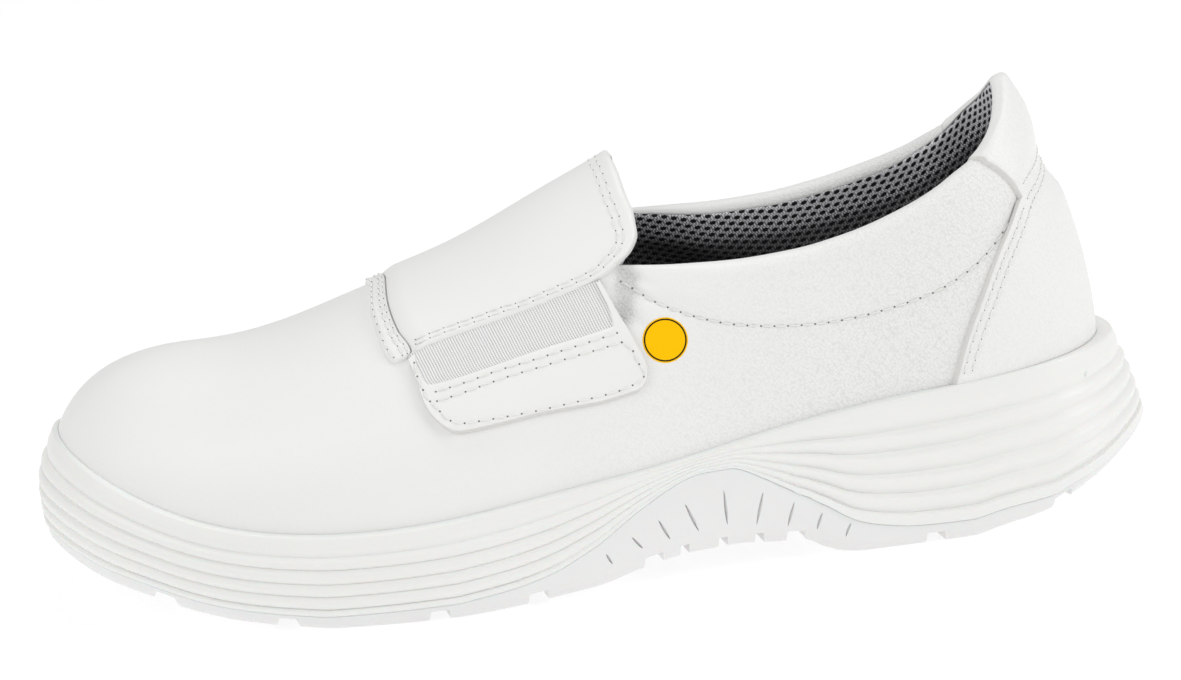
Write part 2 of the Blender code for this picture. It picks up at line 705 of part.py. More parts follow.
# The hem ends this far in front of the flap.
HEM_SHARE = 0.002
HEM_FRONT = [(0.347, 0.994), (0.340, 1.070), (0.332, 1.300), (0.325, 1.600), (0.322, 2.0)]
# Reinforcing strap round the elastic: its inner line, which frames the elastic, and its outer line.
STRAP = table(
    "inner inner_level outer outer_level", [
        (0.3640, 0.996, 0.3590, 0.972),
        (0.3670, 0.900, 0.3650, 0.830),
        (0.3710, 0.820, 0.3710, 0.668),
        (0.3770, 0.786, 0.3820, 0.545),
        (0.3920, 0.783, 0.3960, 0.472),
        (0.4280, 0.777, 0.4300, 0.450),
        (0.4600, 0.765, 0.4600, 0.435),
        (0.4850, 0.752, 0.4900, 0.410),
        (0.5100, 0.738, 0.5220, 0.386),
        (0.5250, 0.730, 0.5460, 0.383),
        (0.5300, 0.742, 0.5570, 0.430),
        (0.5295, 0.780, 0.5590, 0.490),
        (0.5275, 0.840, 0.5500, 0.640),
        (0.5250, 0.890, 0.5410, 0.764),
        (0.5215, 0.962, 0.5290, 0.966),
    ])
COUNTER_FRONT = [(0.809, 0.030), (0.824, 0.250), (0.843, 0.440), (0.865, 0.600), (0.888, 0.690), (0.899, 0.720)]
COUNTER_FOOT = (1.0, 0.020)
COUNTER_TOP = [(0.899, 0.720), (0.915, 0.735), (0.938, 0.725), (0.959, 0.710), (1.0, 0.690)]
TAB_FRONT = [(0.903, 0.735), (0.899, 0.800), (0.893, 0.880), (0.886, 0.950), (0.880, 1.0)]
TAB_EDGE_SHARE = 0.874
# Weight of a step round the foot against a step of level, for even spacing along an outline.
GIRTH_SHARE = 5.0
SEAM_SHARE = 0.010


def crest_sheet(name, low, high, front, rear, columns, rows, thick, material):
    # one piece over the crest, the same on both sides
    half = fill(trace(low), trace(high), trace(front), trace(rear), columns, rows)
    grid = np.concatenate([half, other_side(half[-2::-1])])
    return build_sheet(name, grid, thick, material)


def build_flap(material):
    crest = [FLAP_FRONT[-1], FLAP_REAR[-1]]
    return crest_sheet("instep_flap", FLAP_LOW, crest, FLAP_FRONT, FLAP_REAR, spaced(9, 0.02),
                       spaced(6, 0.03, both=False), FLAP, material)


def build_hem(material):
    front = trace(HEM_FRONT)
    rear = trace([(u - HEM_SHARE, level) for u, level in FLAP_FRONT])
    line = [front(0.0), rear(0.0)]
    top = [front(1.0), rear(1.0)]
    places = np.array([0, 0.25, 0.75, 1.0])
    half = fill(trace(line), trace(top), front, rear, places, spaced(6, 0.03, both=False))
    grid = np.concatenate([half, other_side(half[-2::-1])])
    return build_sheet("vamp_hem", grid, HEM, material)


def strap_lines():
    inner = np.column_stack([STRAP["inner"], STRAP["inner_level"]])
    outer = np.column_stack([STRAP["outer"], STRAP["outer_level"]])
    return inner, outer


def build_strap(name, side, material):
    inner, outer = strap_lines()
    grid = np.stack([outer + (inner - outer) * share for share in (0.0, 0.06, 0.5, 0.94, 1.0)])
    if side == "medial":
        grid = other_side(grid)
    return build_sheet(name, grid, PATCH, material)


def build_gore(name, side, material):
    inner, _ = strap_lines()
    low, front, rear = trace(inner[3:10]), trace(inner[3::-1]), trace(inner[9:])
    edge = [point for point in FLAP_LOW if inner[0][0] < point[0] < inner[-1][0]]
    high = trace([inner[0]] + [(u, level - SEAM_SHARE) for u, level in edge[:-1]] + [inner[-1]])
    along = np.linspace(0.0, 1.0, 9)
    along[[0, -1]] = 0.012, 0.988
    grid = fill(low, high, front, rear, along, np.array([0.03, 0.34, 0.67, 0.97]))
    if side == "medial":
        grid = other_side(grid)
    return build_sheet(name, grid, GORE, material)


def build_counter(material):
    low = [COUNTER_FRONT[0], COUNTER_FOOT]
    middle = [COUNTER_FOOT, COUNTER_TOP[-1]]
    half = fill(trace(low), trace(COUNTER_TOP), trace(COUNTER_FRONT), trace(middle),
                spaced(11, 0.02, both=False), np.array([0, 0.03, 0.30, 0.56, 0.76, 0.88, 0.97, 1.0]))
    grid = np.concatenate([half, other_side(half[:, -2::-1])], axis=1)
    return build_sheet("heel_counter", grid, COUNTER, material)


def build_tab(material):
    fixed = [u for u in REAR if u > TAB_FRONT[0][0]]
    rim = [TAB_EDGE_SHARE, TAB_EDGE_SHARE + 0.003] + [u for u in REAR if u > TAB_EDGE_SHARE + 0.01]
    rim = np.array(rim)
    top_of_counter = curve(COUNTER_TOP)
    front = curve([(level, u) for u, level in TAB_FRONT])
    heel_foot, heel_top = (bare_skin(np.array(1.0), level) for level in (np.array(0.0), collar_t(1.0)))
    turn_level = 1 - TAB_TURN / (heel_top - heel_foot)[2]
    sheets = []
    for lift, border in ((LAID_GAP + TAB, LAID_GAP + 0.5 * TAB), (LAID_GAP, LAID_GAP)):
        rows = []
        for above, level_row in ((SEAM_SHARE, 0.0), (SEAM_SHARE + 0.02, 0.0), (0.0, 0.80), (0.0, 0.88), (0.0, 1.0)):
            start = front(level_row) if level_row else front(TAB_FRONT[0][1] + above - SEAM_SHARE)
            u = np.append([start, start + 0.003, 0.6 * start + 0.4 * fixed[0]], fixed)
            level = np.full(u.shape, level_row) if level_row else top_of_counter(u) + above
            lifts = np.where((u == start) | (above == SEAM_SHARE), border, lift)
            rows.append(np.concatenate([lay(u, level, lifts), lay(2 - u, level, lifts)[-2::-1]]))
        s = np.append(rim, 2 - rim[-2::-1])
        lifts = np.where((s == s[0]) | (s == s[-1]), border, lift)[:, None]
        for turn in (0.25, 0.5, 0.75, 1.0):
            rows.append(collar_edge(s, turn * math.pi, lifts))
        rows.append(inside(s, np.full(s.shape, (1 + turn_level) / 2), lifts[:, 0]))
        rows.append(inside(s, np.full(s.shape, turn_level), np.full(s.shape, border)))
        sheets.append(np.array(rows))
    return close_sheet("heel_tab", sheets[0], sheets[1], material)


# Leaf-shaped recesses in the wing: upper end and lower end, along the length and between tread and edge.
SLITS = table(
    "top_along top_level low_along low_level", [
        (-0.012, 0.70, -0.007, 0.40),
        (0.012, 0.68, 0.021, 0.37),
        (0.037, 0.69, 0.046, 0.31),
        (0.062, 0.72, 0.072, 0.29),
        (0.098, 0.76, 0.098, 0.30),
        (0.133, 0.81, 0.124, 0.27),
        (0.160, 0.81, 0.152, 0.29),
        (0.184, 0.81, 0.178, 0.35),
        (0.209, 0.88, 0.203, 0.41),
    ])
LEAF = ((0.0, 0.0), (0.30, 0.5), (0.70, 0.5), (1.0, 0.0), (0.70, -0.5), (0.30, -0.5))


def prism(shape, sections):
    rings = [shape.add(section) for section in sections]
    for one, two in zip(rings, rings[1:]):
        shape.strip(one, two, closed=True)
    shape.face(rings[0])
    shape.face(rings[-1])


def as_cutter(item, target):
    item.hide_render = True
    item.display_type = "WIRE"
    cut = target.modifiers.new(item.name, "BOOLEAN")
    cut.operation = "DIFFERENCE"
    cut.solver = "EXACT"
    cut.object = item


def groove_section(x, y, width, depth):
    below = tread_z(x) - 2 * depth
    return [(x - 0.6 * width, y, below), (x + 0.6 * width, y, below),
            (x + 0.4 * width, y, tread_z(x + 0.4 * width) + depth),
            (x - 0.4 * width, y, tread_z(x - 0.4 * width) + depth)]


def build_grooves(material):
    shape = Shape()
    for places, width in ((GROOVES, GROOVE_WIDTH), (NOTCHES, NOTCH_WIDTH)):
        for along in places:
            edge = along * SHOE_LENGTH
            room = 0.7 * (edge_z(edge) - tread_z(edge))
            depth = min(TREAD_DEPTH, room)
            half = np.interp(edge, side_x(COLUMNS), -side_y(COLUMNS))
            sections = []
            for share in (-1.25, -0.75, -0.25, 0.25, 0.75, 1.25):
                x = edge - GROOVE_BOW * (1 - share ** 2)
                sections.append(groove_section(x, share * half, width, depth))
            prism(shape, sections)
    return shape.build("groove_cutters", material)


def middle_line(u):
    return foot_x(u), 0.5 * (foot_y(u) + foot_y(2 - u))


def build_channels(material):
    shape = Shape()
    for start, end in CHANNELS:
        sections = []
        for u in np.linspace(start, end, 9):
            x, y = middle_line(u)
            low, high = tread_z(x) - 2 * TREAD_DEPTH, tread_z(x) + TREAD_DEPTH
            wide, narrow = 0.5 * CHANNEL_WIDTH, 0.35 * CHANNEL_WIDTH
            sections.append([(x, y - wide, low), (x, y + wide, low), (x, y + narrow, high), (x, y - narrow, high)])
        prism(shape, sections)
    return shape.build("channel_cutters", material)


def wing_point(along, level, side, out):
    u = np.interp(along * SHOE_LENGTH, side_x(COLUMNS), COLUMNS)
    s = u if side == "lateral" else 2 - u
    base, top = tread_z(side_x(s)), edge_z(side_x(s))
    z = base + level * (top - base)
    return plan(s, wall_out(s, z) + out, z)


def build_slits(material):
    shape = Shape()
    rows = list(zip(*SLITS.values()))
    for side in ("lateral", "medial"):
        for top_along, top_level, low_along, low_level in rows:
            sections = []
            for out in (-SLIT_DEPTH, SLIT_DEPTH):
                top = wing_point(top_along, top_level, side, out)
                low = wing_point(low_along, low_level, side, out)
                run = low - top
                across = np.array([run[2], 0.0, -run[0]]) / np.hypot(run[0], run[2])
                sections.append([top + run * share + across * SLIT_WIDTH * wide for share, wide in LEAF])
            prism(shape, sections)
    return shape.build("slit_cutters", material)


def main():
    for item in list(bpy.data.objects):
        bpy.data.objects.remove(item, do_unlink=True)
    leather = paint("White leather", (0.83, 0.83, 0.81), 0.5)
    build_midsole()
    outsole = build_outsole()
    spare = paint("Cut faces", (0.74, 0.76, 0.75), 0.5)
    for cutter in (build_grooves(spare), build_channels(spare), build_slits(spare)):
        as_cutter(cutter, outsole)
    build_insole()
    build_upper()
    build_hem(paint("Hem leather", (0.83, 0.83, 0.81), 0.5))
    build_flap(paint("Flap leather", (0.84, 0.84, 0.82), 0.5))
    build_counter(paint("Counter leather", (0.83, 0.83, 0.81), 0.5))
    build_tab(paint("Tab leather", (0.83, 0.83, 0.81), 0.5))
    for side in ("lateral", "medial"):
        build_gore("gore_" + side, side, paint("Elastic " + side, (0.80, 0.80, 0.79), 0.85))
        build_strap("patch_" + side, side, paint("Patch leather " + side, (0.83, 0.83, 0.81), 0.5))


main()
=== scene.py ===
import math

import bmesh
import bpy
import numpy as np
from mathutils import Matrix, Vector


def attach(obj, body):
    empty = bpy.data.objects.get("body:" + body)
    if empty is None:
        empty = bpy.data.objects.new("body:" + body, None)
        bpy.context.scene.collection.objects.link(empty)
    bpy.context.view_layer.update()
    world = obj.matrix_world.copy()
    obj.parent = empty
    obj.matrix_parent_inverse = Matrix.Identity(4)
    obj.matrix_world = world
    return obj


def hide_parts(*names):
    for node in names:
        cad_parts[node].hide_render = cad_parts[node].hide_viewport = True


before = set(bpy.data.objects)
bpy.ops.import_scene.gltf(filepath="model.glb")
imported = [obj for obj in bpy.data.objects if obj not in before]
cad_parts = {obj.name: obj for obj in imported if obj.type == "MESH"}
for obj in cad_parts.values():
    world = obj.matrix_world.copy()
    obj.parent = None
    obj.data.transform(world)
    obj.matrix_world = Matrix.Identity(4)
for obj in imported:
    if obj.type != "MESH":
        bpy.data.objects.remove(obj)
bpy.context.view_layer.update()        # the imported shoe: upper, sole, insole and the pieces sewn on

# Left slip-on work shoe: toe to -X, heel to +X, outer side to -Y, floor at z = 0, lengths in metres.
mm = 0.001
shoe = {"length": 0.300, "width": 0.1095, "height": 0.118, "soleHeight": 0.0440}
sole = {"flare": 0.0055, "rimRise": 0.0002, "toeSpring": 0.0184, "archRise": 0.0073, "heelBevel": 0.0182,
        "seatHeel": 0.0280, "seatBall": 0.0150, "ribDepth": 0.0010, "edgeRound": 0.0012, "plate": 0.0046,
        "plateStep": 0.0008, "outsoleEdge": 0.0037, "wingRise": 0.0170, "wingWall": 0.0022}
tread = {"depth": 0.0029, "groove": 0.0062, "notch": 0.0030, "bow": 0.0040, "channel": 0.0050,
         "slit": 0.0011, "slitDepth": 0.0009, "slitFloor": (0.14, 0.36), "slitMouth": (1.36, -0.36)}
wall = {"leather": 0.0025, "collar": 0.0070, "swell": 0.0010, "heelHollow": 0.0022, "hollowLevel": 0.67,
        "inset": 0.0020, "insole": 0.0040}
# the collar's padding: places from toe to heel past the throat, and levels from its seam
padding = {"full": 0.10, "thins": (0.85, 0.91), "below": 0.12, "above": 0.14, "swells": 0.08,
           "swellRise": 0.12, "hollowStart": 0.90, "hollowFade": (0.02, 0.15)}
gap, laidGap = 0.0003, 0.00045
throat = 0.545           # place round the foot where the vamp ends and the collar starts
ringCounts = {"sole": 400, "outsole": 320, "upper": 600}       # places round the foot


def columnsOf(names, rows):
    return dict(zip(names.split(), np.array(rows, float).T))


# the last, toe to heel: shares of length, width, sole height and shoe height, lean in degrees,
# and how strongly the wall is pulled at its foot and at the crest
last = columnsOf(
    "along lateral medial rise topAlong topAcross topRise lean footPull topPull", [
        (-0.478, 0.055, 0.055, 1.055, -0.350, 0.059, 0.556, -28, 0.235, 0.56),
        (-0.472, -0.068, 0.173, 1.030, -0.349, 0.059, 0.556, -26, 0.25, 0.54),
        (-0.450, -0.178, 0.265, 0.930, -0.343, 0.059, 0.556, -20, 0.29, 0.50),
        (-0.413, -0.269, 0.333, 0.795, -0.330, 0.059, 0.556, -13, 0.34, 0.46),
        (-0.360, -0.352, 0.384, 0.659, -0.303, 0.057, 0.560, -7, 0.38, 0.43),
        (-0.293, -0.416, 0.416, 0.575, -0.257, 0.055, 0.583, -2, 0.40, 0.41),
        (-0.207, -0.457, 0.434, 0.552, -0.183, 0.050, 0.643, 0, 0.38, 0.38),
        (-0.120, -0.461, 0.411, 0.591, -0.103, 0.046, 0.711, 0, 0.36, 0.34),
        (-0.040, -0.434, 0.365, 0.652, -0.030, 0.037, 0.799, -2, 0.36, 0.31),
        (0.040, -0.397, 0.324, 0.705, 0.037, 0.027, 0.881, -2, 0.38, 0.29),
        (0.127, -0.356, 0.301, 0.795, 0.100, 0.018, 0.979, 0, 0.42, 0.28),
        (0.213, -0.329, 0.301, 0.877, 0.153, 0.011, 1.068, 1, 0.45, 0.27),
        (0.293, -0.315, 0.310, 0.932, 0.200, 0.005, 1.127, 2, 0.45, 0.26),
        (0.360, -0.292, 0.297, 0.968, 0.237, 0.003, 1.157, 1, 0.43, 0.24),
        (0.413, -0.233, 0.242, 0.995, 0.267, 0.001, 1.167, 0, 0.41, 0.22),
        (0.441, -0.137, 0.146, 0.991, 0.287, 0.000, 1.170, -1, 0.40, 0.21),
        (0.456, 0.000, 0.000, 0.989, 0.300, 0.000, 1.170, -1, 0.39, 0.206),
    ])
soleWall = columnsOf(
    "lateral medial rim fullest", [
        (1.18, 1.18, 0.16, 0.52), (1.15, 1.15, 0.17, 0.52), (1.09, 1.09, 0.22, 0.54),
        (1.00, 1.00, 0.30, 0.58), (0.91, 0.95, 0.37, 0.62), (0.91, 0.95, 0.40, 0.64),
        (1.00, 1.00, 0.40, 0.64), (1.03, 0.96, 0.40, 0.64), (0.96, 0.87, 0.40, 0.64),
        (0.91, 0.82, 0.40, 0.64), (0.85, 0.80, 0.40, 0.64), (0.87, 0.82, 0.40, 0.66),
        (0.96, 0.90, 0.40, 0.70), (1.09, 1.00, 0.40, 0.76), (1.55, 1.50, 0.40, 0.84),
        (2.02, 2.00, 0.42, 0.92), (2.31, 2.31, 0.43, 0.95),
    ])
solidRing = (0.0, 0.025, 0.052, 0.083, 0.12, 0.165, 0.215, 0.265, 0.315, 0.365, 0.415, 0.46, 0.505, 0.545,
             0.572, 0.598, 0.622, 0.646, 0.670, 0.696, 0.726, 0.762, 0.798, 0.828, 0.852, 0.874, 0.893,
             0.912, 0.935, 0.957, 0.979, 1.0)


def unit(vectors):
    return vectors / np.linalg.norm(vectors, axis=-1)[..., None]


def spokes(count, one, two):     # unit vectors round a centre, turning from one to two
    turns = np.arange(count) * 2 * math.pi / count
    return np.cos(turns)[:, None] * one + np.sin(turns)[:, None] * two


def runOf(points, axis=0):       # running length of lines of points
    steps = np.linalg.norm(np.diff(points, axis=axis), axis=-1)
    return np.cumsum(np.insert(steps, 0, 0.0, axis=axis), axis=axis)


def placeOf(s):          # place along the foot from toe to heel, the same on both sides
    return 1 - np.abs(1 - s % 2)


def curve(points):       # smooth line through points that never overshoots them
    x, y = np.array(points, float).T
    run = np.diff(x)
    slope = np.diff(y) / run
    tangent = np.zeros_like(y)
    tangent[0], tangent[-1] = slope[0], slope[-1]
    for i in range(1, len(x) - 1):
        if slope[i - 1] * slope[i] > 0:
            before, after = 2 * run[i] + run[i - 1], run[i] + 2 * run[i - 1]
            tangent[i] = (before + after) / (before / slope[i - 1] + after / slope[i])

    def at(value):
        v = np.clip(value, x[0], x[-1])
        i = np.clip(np.searchsorted(x, v, side="right") - 1, 0, len(run) - 1)
        h = run[i]
        a = (v - x[i]) / h
        return ((1 + 2 * a) * (1 - a) ** 2 * y[i] + a * (1 - a) ** 2 * h * tangent[i]
                + a * a * (3 - 2 * a) * y[i + 1] - a * a * (1 - a) * h * tangent[i + 1])
    return at


def closedSpline(knots, values, period=2.0):     # smooth line that closes on itself
    count = len(knots)
    run = np.diff(np.append(knots, knots[0] + period))
    slope = (np.roll(values, -1) - values) / run
    system = np.zeros((count, count))
    for i in range(count):
        system[i, (i - 1) % count] += run[i - 1]
        system[i, i] += 2 * (run[i - 1] + run[i])
        system[i, (i + 1) % count] += run[i]
    bend = np.linalg.solve(system, 6 * (slope - np.roll(slope, 1)))

    def at(s):
        s = (np.asarray(s, float) - knots[0]) % period + knots[0]
        i = np.clip(np.searchsorted(knots, s, side="right") - 1, 0, count - 1)
        j = (i + 1) % count
        h = run[i]
        a = (knots[i] + h - s) / h
        c = 1 - a
        curving = ((a ** 3 - a) * bend[i] + (c ** 3 - c) * bend[j]) * h * h / 6
        return a * values[i] + c * values[j] + curving
    return at


halfWidth = (last["medial"] - last["lateral"]) / 2 * shoe["width"]
steps = np.hypot(np.diff(last["along"]) * shoe["length"], np.diff(halfWidth))
stations = np.append(0, np.cumsum(steps)) / steps.sum()
knotPlaces = np.append(stations, 2 - stations[-2:0:-1])


def around(outer, inner=None):
    inner = outer if inner is None else inner
    return closedSpline(knotPlaces, np.append(outer, inner[-2:0:-1]))


footX = around(last["along"] * shoe["length"])
footY = around(last["lateral"] * shoe["width"], last["medial"] * shoe["width"])
featherZ = around(last["rise"] * shoe["soleHeight"])
topX = around(last["topAlong"] * shoe["length"])
topY = around(last["topAcross"] * shoe["width"])
topZ = around(last["topRise"] * shoe["height"])
leanAt, footPull, topPull = around(last["lean"]), around(last["footPull"]), around(last["topPull"])
flare = around(soleWall["lateral"] * sole["flare"], soleWall["medial"] * sole["flare"])
rimShare, fullest = around(soleWall["rim"]), around(soleWall["fullest"])

toeLift = curve([(-0.500, 1.03), (-0.492, 1.0), (-0.474, 0.885), (-0.448, 0.70), (-0.410, 0.50),
                 (-0.369, 0.288), (-0.335, 0.163), (-0.283, 0.05), (-0.250, 0.0), (0.0, 0.0)])
archLift = curve([(-0.143, 0.0), (-0.090, 0.12), (-0.065, 0.20), (-0.020, 0.35), (0.020, 0.72),
                  (0.070, 1.0), (0.107, 1.0), (0.143, 0.83), (0.168, 0.76), (0.182, 0.42),
                  (0.200, 0.12), (0.222, 0.0), (0.300, 0.0)])
backLift = curve([(0.0, 0.0), (0.317, 0.0), (0.341, 0.08), (0.393, 0.25), (0.410, 0.385),
                  (0.431, 0.55), (0.455, 0.735), (0.476, 0.89), (0.495, 1.0), (0.505, 1.02)])
edgeLine = curve([(-0.50, 0.95), (-0.30, 0.95), (-0.20, 1.05), (-0.12, 1.15), (0.0, 1.15), (0.20, 1.35),
                  (0.30, 1.40), (0.36, 1.30), (0.41, 0.85), (0.445, 0.50), (0.50, 0.42)])
wingLine = curve([(-0.145, 0.0), (-0.100, 0.06), (-0.060, 0.17), (-0.037, 0.31), (0.011, 0.63),
                  (0.048, 0.84), (0.083, 0.97), (0.105, 0.965), (0.135, 0.78), (0.158, 0.552),
                  (0.168, 0.454), (0.182, 0.443), (0.190, 0.42), (0.211, 0.26), (0.238, 0.11),
                  (0.270, 0.02), (0.300, 0.0)])
seatLine = curve([(-0.480, 0.74), (-0.430, 0.42), (-0.367, 0.16), (-0.300, 0.03), (-0.220, 0.0),
                  (-0.110, 0.14), (0.0, 0.45), (0.100, 0.76), (0.200, 0.95), (0.300, 1.0), (0.480, 1.04)])
collarLine = curve([(-0.067, 0.725), (0.033, 0.702), (0.083, 0.693), (0.133, 0.689), (0.183, 0.695),
                    (0.233, 0.717), (0.283, 0.756), (0.317, 0.791), (0.335, 0.815), (0.358, 0.848),
                    (0.369, 0.876), (0.378, 0.902), (0.384, 0.925), (0.389, 0.958), (0.396, 1.022),
                    (0.420, 1.090)])
medialLift = curve([(0.0, 0.025), (0.200, 0.018), (0.250, 0.012), (0.290, 0.004), (0.320, 0.0),
                    (0.400, 0.0)])
padLine = curve([(0.0, 0.95), (0.537, 0.95), (0.573, 0.83), (0.611, 0.74), (0.650, 0.67), (0.690, 0.61),
                 (0.745, 0.56), (0.794, 0.55), (0.840, 0.59), (0.880, 0.67), (0.940, 0.75), (1.0, 0.78)])
throatLine = curve([(0.0, 0.0), (0.12, 0.010), (0.30, 0.017), (0.50, 0.015), (0.80, 0.012), (1.0, 0.010)])


def ease(value, low, high):
    a = np.clip((value - low) / (high - low), 0, 1)
    return a * a * (3 - 2 * a)


def treadZ(x):
    a = x / shoe["length"]
    return (sole["toeSpring"] * toeLift(a) + sole["archRise"] * archLift(a)
            + sole["heelBevel"] * backLift(a))


def edgeZ(x):
    a = x / shoe["length"]
    return treadZ(x) + sole["outsoleEdge"] * edgeLine(a) + sole["wingRise"] * wingLine(a)


def plateZ(x):
    return np.minimum(treadZ(x) + sole["plate"], edgeZ(x))


def seatZ(x):
    return sole["seatBall"] + (sole["seatHeel"] - sole["seatBall"]) * seatLine(x / shoe["length"])


def outward(s, step=1e-3):       # level direction away from the foot
    dx = footX(s + step) - footX(s - step)
    dy = footY(s + step) - footY(s - step)
    size = np.hypot(dx, dy)
    return dy / size, -dx / size


def plan(s, out, z):
    nx, ny = outward(s)
    return np.stack(np.broadcast_arrays(footX(s) + nx * out, footY(s) + ny * out, z), -1)


def planAt(s, out, height):      # the same, with the height worked out from the place along the shoe
    points = plan(s, out, 0.0)
    points[:, 2] = height(points[:, 0])
    return points


def bareSkin(s, t):      # s goes round the foot, t from the feather line to the crest
    foot = np.stack([footX(s), footY(s), featherZ(s)], -1)
    crest = np.stack([topX(s), topY(s), topZ(s)], -1)
    nx, ny = outward(s)
    lean = np.radians(leanAt(s))
    rising = np.stack([nx * np.sin(lean), ny * np.sin(lean), np.cos(lean)], -1)
    level = foot - crest
    level[..., 2] = 0
    level = unit(level)
    u = np.clip(placeOf(s), 0.03, 0.97)
    step = 1e-3
    level[..., 2] = (topZ(u + step) - topZ(u - step)) / (topX(u + step) - topX(u - step)) * level[..., 0]
    reach = np.linalg.norm(crest - foot, axis=-1)
    low = foot + rising * (footPull(s) * reach)[..., None]
    high = crest + level * (topPull(s) * reach)[..., None]
    t = t[..., None]
    return (1 - t) ** 3 * foot + 3 * t * (1 - t) ** 2 * low + 3 * t * t * (1 - t) * high + t ** 3 * crest


def skinFrame(s, t, step=2e-3):
    t = np.clip(t, 0, 0.985)
    along = bareSkin(s + step, t) - bareSkin(s - step, t)
    up = bareSkin(s, t + step) - bareSkin(s, t - step)
    return unit(np.cross(along, up)), unit(up)


def padThickness(s):
    u = placeOf(s)
    more = (wall["collar"] - wall["leather"]) * ease(u, throat, throat + padding["full"])
    return wall["leather"] + more * (1 - ease(u, *padding["thins"]))


def findCollar(places=61):
    u = np.linspace(throat, 1.0, places)
    levels = []
    for s in np.append(u, 2 - u[-2::-1]):
        low, high = 0.05, 0.95
        lift = medialLift if s > 1 else lambda a: 0.0
        for _ in range(30):
            mid = (low + high) / 2
            x, _, z = bareSkin(np.array(s), np.array(mid))
            a = x / shoe["length"]
            top = shoe["height"] * (collarLine(a) + lift(a)) - padThickness(s) / 2
            low, high = (mid, high) if z < top else (low, mid)
        levels.append(low)
    return np.array([u, levels[:places]]), np.array([u, levels[places - 1:][::-1]])


collarOuter, collarInner = findCollar()


def collarT(s):
    s = np.asarray(s, float) % 2
    return np.where(s > 1, np.interp(placeOf(s), *collarInner), np.interp(placeOf(s), *collarOuter))


def swell(s, t):
    u = placeOf(s)
    share = t / collarT(s)
    pad = (ease(u, throat, throat + padding["swells"])
           * ease(share, padLine(u), padLine(u) + padding["swellRise"]))
    near = 1 - ease(abs(share - wall["hollowLevel"]), *padding["hollowFade"])
    hollow = ease(u, padding["hollowStart"], 1.0) * near
    return wall["swell"] * pad - wall["heelHollow"] * hollow


def skin(s, t, lift=0.0):
    s, t, lift = np.broadcast_arrays(np.asarray(s, float), np.asarray(t, float), np.asarray(lift, float))
    normal, _ = skinFrame(s, t)
    return bareSkin(s, t) + normal * (lift + swell(s, t))[..., None]


def thickness(s, t):
    seam = padLine(placeOf(s))
    rise = ease(t / collarT(s), seam - padding["below"], seam + padding["above"])
    return wall["leather"] + (padThickness(s) - wall["leather"]) * rise


def collarEdge(s, turn, lift=0.0):       # round edge of the collar, half a turn from outer to inner face
    s = np.asarray(s, float)
    t = collarT(s)
    normal, up = skinFrame(s, t)
    radius = (thickness(s, t) + swell(s, t))[..., None] / 2
    centre = skin(s, t) - normal * radius
    turn = np.reshape(turn, (-1, 1))
    return centre + (radius + lift) * (np.cos(turn) * normal + np.sin(turn) * up)


def levelT(s, level):    # level 0 at the feather line, 1 at the collar's edge, 2 at the crest
    edge = collarT(s)
    return np.where(level <= 1, level * edge, edge + (level - 1) * (1 - edge))


def lay(s, level, lift=0.0):
    s, level, lift = np.broadcast_arrays(np.asarray(s, float), np.asarray(level, float), lift)
    points = skin(s, levelT(s, level), lift)
    across = skin(2 - s, levelT(2 - s, level), lift)
    return np.where((level > 1.999)[..., None], (points + across) / 2, points)


def inside(s, level):
    t = levelT(s, level)
    normal, _ = skinFrame(s, t)
    return bareSkin(s, t) - normal * thickness(s, t)[..., None]


solidPlaces = np.append(solidRing, 2 - np.array(solidRing)[-2:0:-1])
solidEdge = plan(solidPlaces, flare(solidPlaces), 0.0)
frameShift = -(solidEdge.max(axis=0) + solidEdge.min(axis=0)) / 2
print("shape of the last is ready")


# colours and materials

def toLinear(code):
    values = [int(code[i:i + 2], 16) / 255 for i in (1, 3, 5)]
    return tuple(v / 12.92 if v <= 0.04045 else ((v + 0.055) / 1.055) ** 2.4 for v in values) + (1.0,)


def feed(tree, node, inputs):    # links or sets a node's inputs, given by name or number, or in a row
    for key, value in inputs.items() if isinstance(inputs, dict) else enumerate(inputs):
        if isinstance(value, bpy.types.NodeSocket):
            tree.links.new(value, node.inputs[key])
        else:
            node.inputs[key].default_value = value


def addNode(tree, kind, inputs=(), out=0, **settings):      # adds a node and gives one of its outputs
    node = tree.nodes.new("ShaderNode" + kind)
    for name, value in settings.items():
        setattr(node, name, value)
    feed(tree, node, inputs)
    return node.outputs[out]


def newMaterial(name, roughness, **sockets):
    material = bpy.data.materials.new(name)
    material.use_nodes = True
    tree = material.node_tree
    shader = tree.nodes["Principled BSDF"]
    feed(tree, shader, {"Roughness": roughness} | {key.replace("_", " "): sockets[key] for key in sockets})
    return material, tree, shader


mapUnit = 0.1            # metres in one unit of the maps that a piece keeps for its material
mapMm = mapUnit / mm

# smoothEnd and grainEnd are places along the shoe; the grain is drawn as coarse as it needs to show
leather = {"light": "#f1f1ef", "dark": "#ededeb", "valley": "#cfcfcd", "roughness": 0.46, "gloss": 0.12,
           "grain": 0.66 * mm, "random": 0.75, "warp": 0.15, "lie": -40.0, "drawn": 0.80,
           "pore": 0.30 * mm, "poreShare": 0.25, "cloud": 35.7 * mm, "relief": 0.17 * mm,
           "smoothEnd": -50 * mm, "grainEnd": 30 * mm, "toeGrain": 0.10, "creaseShade": 0.50,
           "creaseStart": 0.30, "creaseEnd": 0.90, "folded": 1.2, "foldShade": 0.62, "foldFull": 1.5 * mm}


